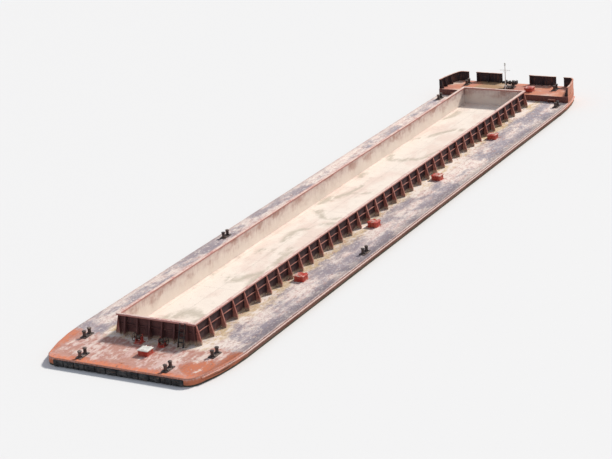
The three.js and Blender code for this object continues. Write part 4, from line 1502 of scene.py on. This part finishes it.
def makeBrakeBand(place):  # a flat band bent round the shaft, open where it is drawn together
    shape = windlassShape
    (inner, low), (outer, high) = shape["band"]
    deselectAll()
    middle = ((inner + outer) / 2, 0, (low + high) / 2)
    bpy.ops.mesh.primitive_plane_add(size=1, rotation=(pi / 2, 0, 0), location=middle)
    bpy.context.object.scale = (outer - inner, high - low, 1)
    band = fixed("band")
    bpy.ops.object.mode_set(mode="EDIT")
    bpy.ops.mesh.select_all(action="SELECT")
    bpy.ops.mesh.spin(
        steps=shape["bandSteps"], angle=shape["bandSweep"], center=(0, 0, 0), axis=(0, 0, 1)
    )
    leaveEdit()
    cleaned(band)
    turn = Matrix.Rotation(-pi / 2, 4, "X") @ Matrix.Rotation(shape["bandStart"], 4, "Z")
    band.matrix_world = Matrix.Translation(place) @ turn
    takeUp(band)
    bpy.ops.object.transform_apply(location=True, rotation=True, scale=True)
    return band


def makeWindlass():
    shape = windlassShape
    at = middleOf("windlass_stand")
    shaft = at + Vector((0, 0, shape["shaftHigh"]))
    places = [place for rows in shape["bolts"] for place in corners(at, *rows)]
    pieces = [roundEdges(copyOf("windlass_stand.frame"), shape["round"]), boltHeads(places, *shape["bolt"])]
    for x in shape["ties"]:
        place = at + Vector((x, 0, shape["tieHigh"]))
        pieces.append(turned("tie", shape["tie"], 16, "Y", place))
    for side in (-1, 1):
        middle = shaft + Vector((0, side * shape["brakeAt"], 0))
        pieces.append(makeBrakeBand(middle))
        pieces.append(turned("screw", shape["screw"], 12, "Z", middle + Vector(shape["screwAt"])))
        pieces.append(roundEdges(block("crank", *shape["crank"], middle), shape["crankRound"]))
        pieces.append(turned("knob", shape["knob"], 12, "Z", middle + Vector(shape["knobAt"])))
        pieces.append(roundEdges(block("foot", *shape["foot"], middle), shape["round"]))
        place = shaft + Vector((0, side * shape["bossAt"], 0))
        pieces.append(turned("boss", shape["boss"], 32, "Y", place))
    settle(joined("windlass_stand.frame", pieces), "barge", "blackGear")

    upper = shape["wheel"] + shape["brake"] + shape["warping"]
    profile = [(radius, -high) for radius, high in reversed(upper)] + upper[1:]
    drum = turned("drum", profile, 64, "Y", shaft)
    whelp = block("whelp", *shape["whelp"], shaft)
    chooseFaces(whelp, lambda middle, facing: facing.x > 0.9)
    widen(*shape["whelpTop"], shaft + Vector((shape["whelp"][1][0], 0, 0)))
    leaveEdit()
    pieces = [drum, aroundShaft(roundEdges(whelp, shape["whelpRound"]), shape["whelps"], shaft)]
    for side in (-1, 1):
        rib = block("rib", *shape["rib"], shaft + Vector((0, side * shape["ribAt"], 0)))
        pieces.append(aroundShaft(roundEdges(rib, shape["round"]), shape["ribs"], shaft))
        place = shaft + Vector((0, side * shape["nutAt"], 0))
        pieces.append(turned("nut", shape["nut"], 6, "Y", place))
    settle(joined("windlass_drum.cast", pieces), "windlass", "blackGear")


winchShape = {
    "shaftHigh": 0.2,
    "drum": [(0.0175, -0.13), (0.0175, -0.09), (0.083, -0.09), (0.085, -0.088), (0.085, -0.082),
             (0.083, -0.08), (0.04, -0.08), (0.04, 0.08), (0.083, 0.08), (0.085, 0.082), (0.085, 0.088),
             (0.083, 0.09), (0.0175, 0.09), (0.0175, 0.165), (0.032, 0.166), (0.034, 0.169),
             (0.034, 0.188), (0.03, 0.192)],
    "teeth": 20,
    "tooth": ((0.08, -0.089, -0.009), (0.093, -0.081, 0.009)),
    "toothFall": 0.014,
    "wheelAt": 0.18,
    "wheel": 0.15,
    "rim": 0.013,
    "spokes": 4,
    "spoke": ((0.025, -0.006, -0.011), (0.15, 0.006, 0.011)),
    "spokeEnd": (1, 0.8, 0.6),
    "spokeRound": 0.004,
    "wire": 0.0062,
    "turns": 12,
    "wound": 0.152,  # the width of the drum that the wire fills
    "layers": (0.046, 0.0565),  # the radius of the wire's two layers
    "upperTurns": (2, 9),  # the turns of the lower layer that carry the upper one
    "bolts": (0.125, 0.137, 0.025),
    "bolt": (0.008, 0.007),
    "ties": (-0.08, 0.08),
    "tieHigh": 0.055,
    "tie": [(0.008, -0.11), (0.008, 0.11)],
    "round": 0.003,
    "pawlAt": (0.055, -0.085, 0.285),
    "pawl": ((-0.03, -0.006, -0.008), (0.035, 0.006, 0.008)),
    "postAt": -0.11,
    "post": ((0.078, -0.01, 0.12), (0.1, 0.01, 0.3)),
    "pinAt": (0.086, -0.095, 0.286),
    "pin": [(0.007, -0.03), (0.007, 0.03)],
}


def makeWinchDrum(centre):  # the drum with its ratchet and handwheel
    shape = winchShape
    drum = turned("drum", shape["drum"], 48, "Y", centre)
    tooth = block("tooth", *shape["tooth"], centre)
    tip = lambda point: point.x > 0.09 and point.z > shape["shaftHigh"]
    movePoints(tooth, tip, z=-shape["toothFall"])
    hub = centre + Vector((0, shape["wheelAt"], 0))
    rim = ring("rim", shape["wheel"], shape["rim"], hub, "Y", 56, 12)
    spoke = block("spoke", *shape["spoke"], hub)
    chooseFaces(spoke, lambda middle, facing: facing.x > 0.9)
    widen(*shape["spokeEnd"], hub)
    leaveEdit()
    spokes = aroundShaft(roundEdges(spoke, shape["spokeRound"]), shape["spokes"], hub)
    return joined("drum", [drum, aroundShaft(tooth, shape["teeth"], centre), rim, spokes])


def makeWinding(centre):  # two layers of closed turns of wire
    shape = winchShape
    pitch = shape["wound"] / shape["turns"]
    lower, upper = shape["layers"]
    turns = []
    for step in range(shape["turns"]):
        along = pitch * (step + 0.5) - shape["wound"] / 2
        turns.append((lower, along))
        if step in range(*shape["upperTurns"]):
            turns.append((upper, along + pitch / 2))
    wires = [ring("turn", wide, shape["wire"], centre + Vector((0, y, 0)), "Y", 40, 8) for wide, y in turns]
    return joined("wire", wires)


def makeWinchStand(side, way):  # way is 1 to port and -1 to starboard
    shape = winchShape
    name = f"coupling_winch_{side}.frame"
    at = middleOf("coupling_winch_" + side)
    pieces = [roundEdges(copyOf(name), shape["round"])]
    pieces.append(boltHeads(corners(at, *shape["bolts"]), *shape["bolt"]))
    for x in shape["ties"]:
        pieces.append(turned("tie", shape["tie"], 12, "Y", at + Vector((x, 0, shape["tieHigh"]))))
    mirrored = lambda x, y, z: at + Vector((x, way * y, z))
    pieces.append(roundEdges(block("pawl", *shape["pawl"], mirrored(*shape["pawlAt"])), shape["round"]))
    pieces.append(roundEdges(block("post", *shape["post"], mirrored(0, shape["postAt"], 0)), shape["round"]))
    pieces.append(turned("pin", shape["pin"], 12, "Y", mirrored(*shape["pinAt"])))
    settle(joined(name, pieces), "barge", "redGear")


def makeWinches():
    centre = Vector((0, 0, winchShape["shaftHigh"]))
    drum = makeWinchDrum(centre)
    wire = makeWinding(centre)
    for side, way in sides.items():
        makeWinchStand(side, way)
        at = middleOf("coupling_winch_" + side)
        turn = 0 if way > 0 else pi
        node = "winch_drum_" + side
        settle(placed(drum, node + ".wheel", at, turn), "winch_" + side, "blackGear")
        settle(placed(wire, node + ".wire", at, turn), "winch_" + side, "wireRope", ())
    discard(drum, wire)


mastShape = {
    "bolts": (0.08, 0.085, 0.025),
    "bolt": (0.007, 0.006),
    "standRound": 0.003,
    "pivotHigh": 0.17,
    "heel": ((-0.035, -0.055, -0.1), (0.035, 0.055, 0.08)),
    "heelRound": 0.006,
    "pin": [(0.015, -0.091), (0.015, 0.091)],
    "pole": [(0.034, 0.078), (0.034, 0.084), (0.0225, 0.1), (0.018, 1.1), (0.043, 1.1), (0.045, 1.103),
             (0.045, 1.117), (0.041, 1.12), (0.02, 1.12)],
    "cap": [(0.036, 1.208), (0.045, 1.21), (0.045, 1.222), (0.034, 1.236), (0.02, 1.246), (0.012, 1.25)],
    "lens": [(0.032, 1.119), (0.035, 1.128), (0.032, 1.137), (0.035, 1.146), (0.032, 1.155),
             (0.036, 1.165), (0.032, 1.175), (0.035, 1.184), (0.032, 1.193), (0.034, 1.202),
             (0.031, 1.209)],
    "yardHigh": 0.875,
    "yard": [(0.004, -0.275), (0.009, -0.271), (0.011, -0.265), (0.007, -0.255), (0.01, 0)],
    "eyeAt": (0.225, -0.02),
    "eye": (0.012, 0.003),
    "brace": ((0.018, -0.13), (0.14, -0.006)),  # its ends, away from the pole and over the yard
    "braceRadius": 0.004,
    "cleatAt": 0.028,
    "cleat": ((-0.006, -0.006, 0.3), (0.006, 0.006, 0.37)),
    "cleatRound": 0.003,
    "band": (0.0205, 0.004),
    "guards": 4,
    "guardAt": 0.041,
    "guard": (1.115, 1.215),
    "guardRadius": 0.0022,
}


def makeYard(yardAt):  # the cross spar with its eyes, braces and band
    shape = mastShape
    half = shape["yard"]
    spar = half + [(radius, -high) for radius, high in half[-2::-1]]
    pieces = [turned("yard", spar, 16, "Y", yardAt), ring("band", *shape["band"], yardAt, "Z", 24, 8)]
    eyeOut, eyeHigh = shape["eyeAt"]
    for side in (-1, 1):
        eyeAt = yardAt + Vector((0, side * eyeOut, eyeHigh))
        pieces.append(ring("eye", *shape["eye"], eyeAt, "X", 16, 8))
        brace = [yardAt + Vector((0, side * out, high)) for out, high in shape["brace"]]
        pieces.append(bentBar("brace", brace, shape["braceRadius"]))
    return pieces


def makeMast():
    shape = mastShape
    at = middleOf("mast_tabernacle")
    stand = roundEdges(copyOf("mast_tabernacle.frame"), shape["standRound"])
    bolts = boltHeads(corners(at, *shape["bolts"]), *shape["bolt"])
    settle(joined("mast_tabernacle.frame", [stand, bolts]), "barge", "blackGear")

    pivot = at + Vector((0, 0, shape["pivotHigh"]))
    pieces = [roundEdges(block("heel", *shape["heel"], pivot), shape["heelRound"])]
    pieces.append(turned("pin", shape["pin"], 24, "Y", pivot))
    pieces.append(turned("pole", shape["pole"], 32, "Z", pivot))
    pieces.append(turned("cap", shape["cap"], 32, "Z", pivot))
    pieces += makeYard(pivot + Vector((0, 0, shape["yardHigh"])))
    for side in (-1, 1):
        cleat = block("cleat", *shape["cleat"], pivot + Vector((0, side * shape["cleatAt"], 0)))
        pieces.append(roundEdges(cleat, shape["cleatRound"]))
    for step in range(shape["guards"]):
        turn = 2 * pi * (step + 0.5) / shape["guards"]
        foot = pivot + Vector((cos(turn), sin(turn), 0)) * shape["guardAt"]
        guard = [foot + Vector((0, 0, high)) for high in shape["guard"]]
        pieces.append(bentBar("guard", guard, shape["guardRadius"]))
    settle(joined("signal_mast.pole", pieces), "mast", "paleGear")
    settle(turned("signal_mast.lens", shape["lens"], 32, "Z", pivot), "mast", "lampGlass", (), 60)


anchorShape = {
    "round": 0.009,
    "shackle": (0.026, 0.008),
    "shackleHigh": 0.004,
    "aft": 0.004,  # the shackle and the hinge stand this far aft of the middle
    "hinge": [(0.02, -0.075), (0.026, -0.07), (0.026, 0.07), (0.02, 0.075)],
    "hingeHigh": 0.04,
    "rollerRound": 0.004,
    "rollerBolts": (0.05, 0.03, 0),
    "rollerFoot": (0.09, 0.02),  # the middle of the bolts, from the roller's aft end, and their height
    "bolt": (0.008, 0.007),
    "axle": [(0.016, -0.107), (0.02, -0.1), (0.02, 0.1), (0.016, 0.107)],
    "axleAt": (0.065, 0.09),  # from the roller's fore end, and its height
}


def makeAnchorGear():
    shape = anchorShape
    roller = roundEdges(copyOf("anchor_roller.frame"), shape["rollerRound"])
    low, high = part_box("anchor_roller")
    ahead, up = shape["rollerFoot"]
    places = corners(Vector((low.x + ahead, 0, low.z + up)), *shape["rollerBolts"])
    back, up = shape["axleAt"]
    axle = turned("axle", shape["axle"], 16, "Y", (high.x - back, 0, low.z + up))
    bolts = boltHeads(places, *shape["bolt"])
    settle(joined("anchor_roller.frame", [roller, bolts, axle]), "barge", "blackGear")

    anchor = roundEdges(copyOf("anchor.cast"), shape["round"], 3)
    low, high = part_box("anchor")
    middle = (low.x + high.x) / 2 - shape["aft"]
    shackle = ring("shackle", *shape["shackle"], (middle, 0, high.z + shape["shackleHigh"]), "X", 24, 10)
    hinge = turned("hinge", shape["hinge"], 24, "Y", (middle, 0, low.z + shape["hingeHigh"]))
    settle(joined("anchor.cast", [anchor, shackle, hinge]), "barge", "blackGear")


print("making the hull and its raised deck")
makeHull()
makeForecastle()
print("making the bin")
makeBin()
print("making hatches and bollards")
makeHatches()
makeBollards()
print("making the fenders")
for fender in ("stern_push_fender", "bow_fender"):
    makeFender(fender)
print("making the bulwarks, strakes and ladder")
for side in sides:
    makeBulwark("bow_bulwark_" + side)
    makeBulwark("corner_bulwark_" + side)
makeStrakes()
makeLadder()
print("making the winches, windlass, mast and anchor")
makeWinches()
makeWindlass()
makeMast()
makeAnchorGear()

studio = {
    "floor": (0.74, 0.74, 0.73),
    "floorSize": 900.0,
    "sunFrom": (0.9, -0.35, 0.85),
    "sunStrength": 3.9,
    "sunColour": (1.0, 0.96, 0.90),
    "sunWidth": radians(8),
    "sky": (0.80, 0.86, 1.0),
    "skyStrength": 0.5,
}


def makeStudio():
    deselectAll()
    bpy.ops.mesh.primitive_plane_add(size=studio["floorSize"], location=(0, 0, waterline))
    floor = bpy.context.object
    floor.name = "floor"
    f = Finish("floor", specular=0.1)
    floor.data.materials.append(f.wear(Base_Color=studio["floor"], Roughness=0.9))
    bpy.ops.object.light_add(type="SUN")
    sun = bpy.context.object
    sun.rotation_euler = Vector(studio["sunFrom"]).to_track_quat("Z", "Y").to_euler()
    sun.data.energy = studio["sunStrength"]
    sun.data.angle = studio["sunWidth"]
    sun.data.color = studio["sunColour"]
    world = bpy.data.worlds.new("studio")
    world.use_nodes = True
    background = world.node_tree.nodes["Background"]
    background.inputs["Color"].default_value = (*studio["sky"], 1)
    background.inputs["Strength"].default_value = studio["skyStrength"]
    bpy.context.scene.world = world
    bpy.context.scene.view_settings.view_transform = "Standard"


print("setting up the studio")
makeStudio()
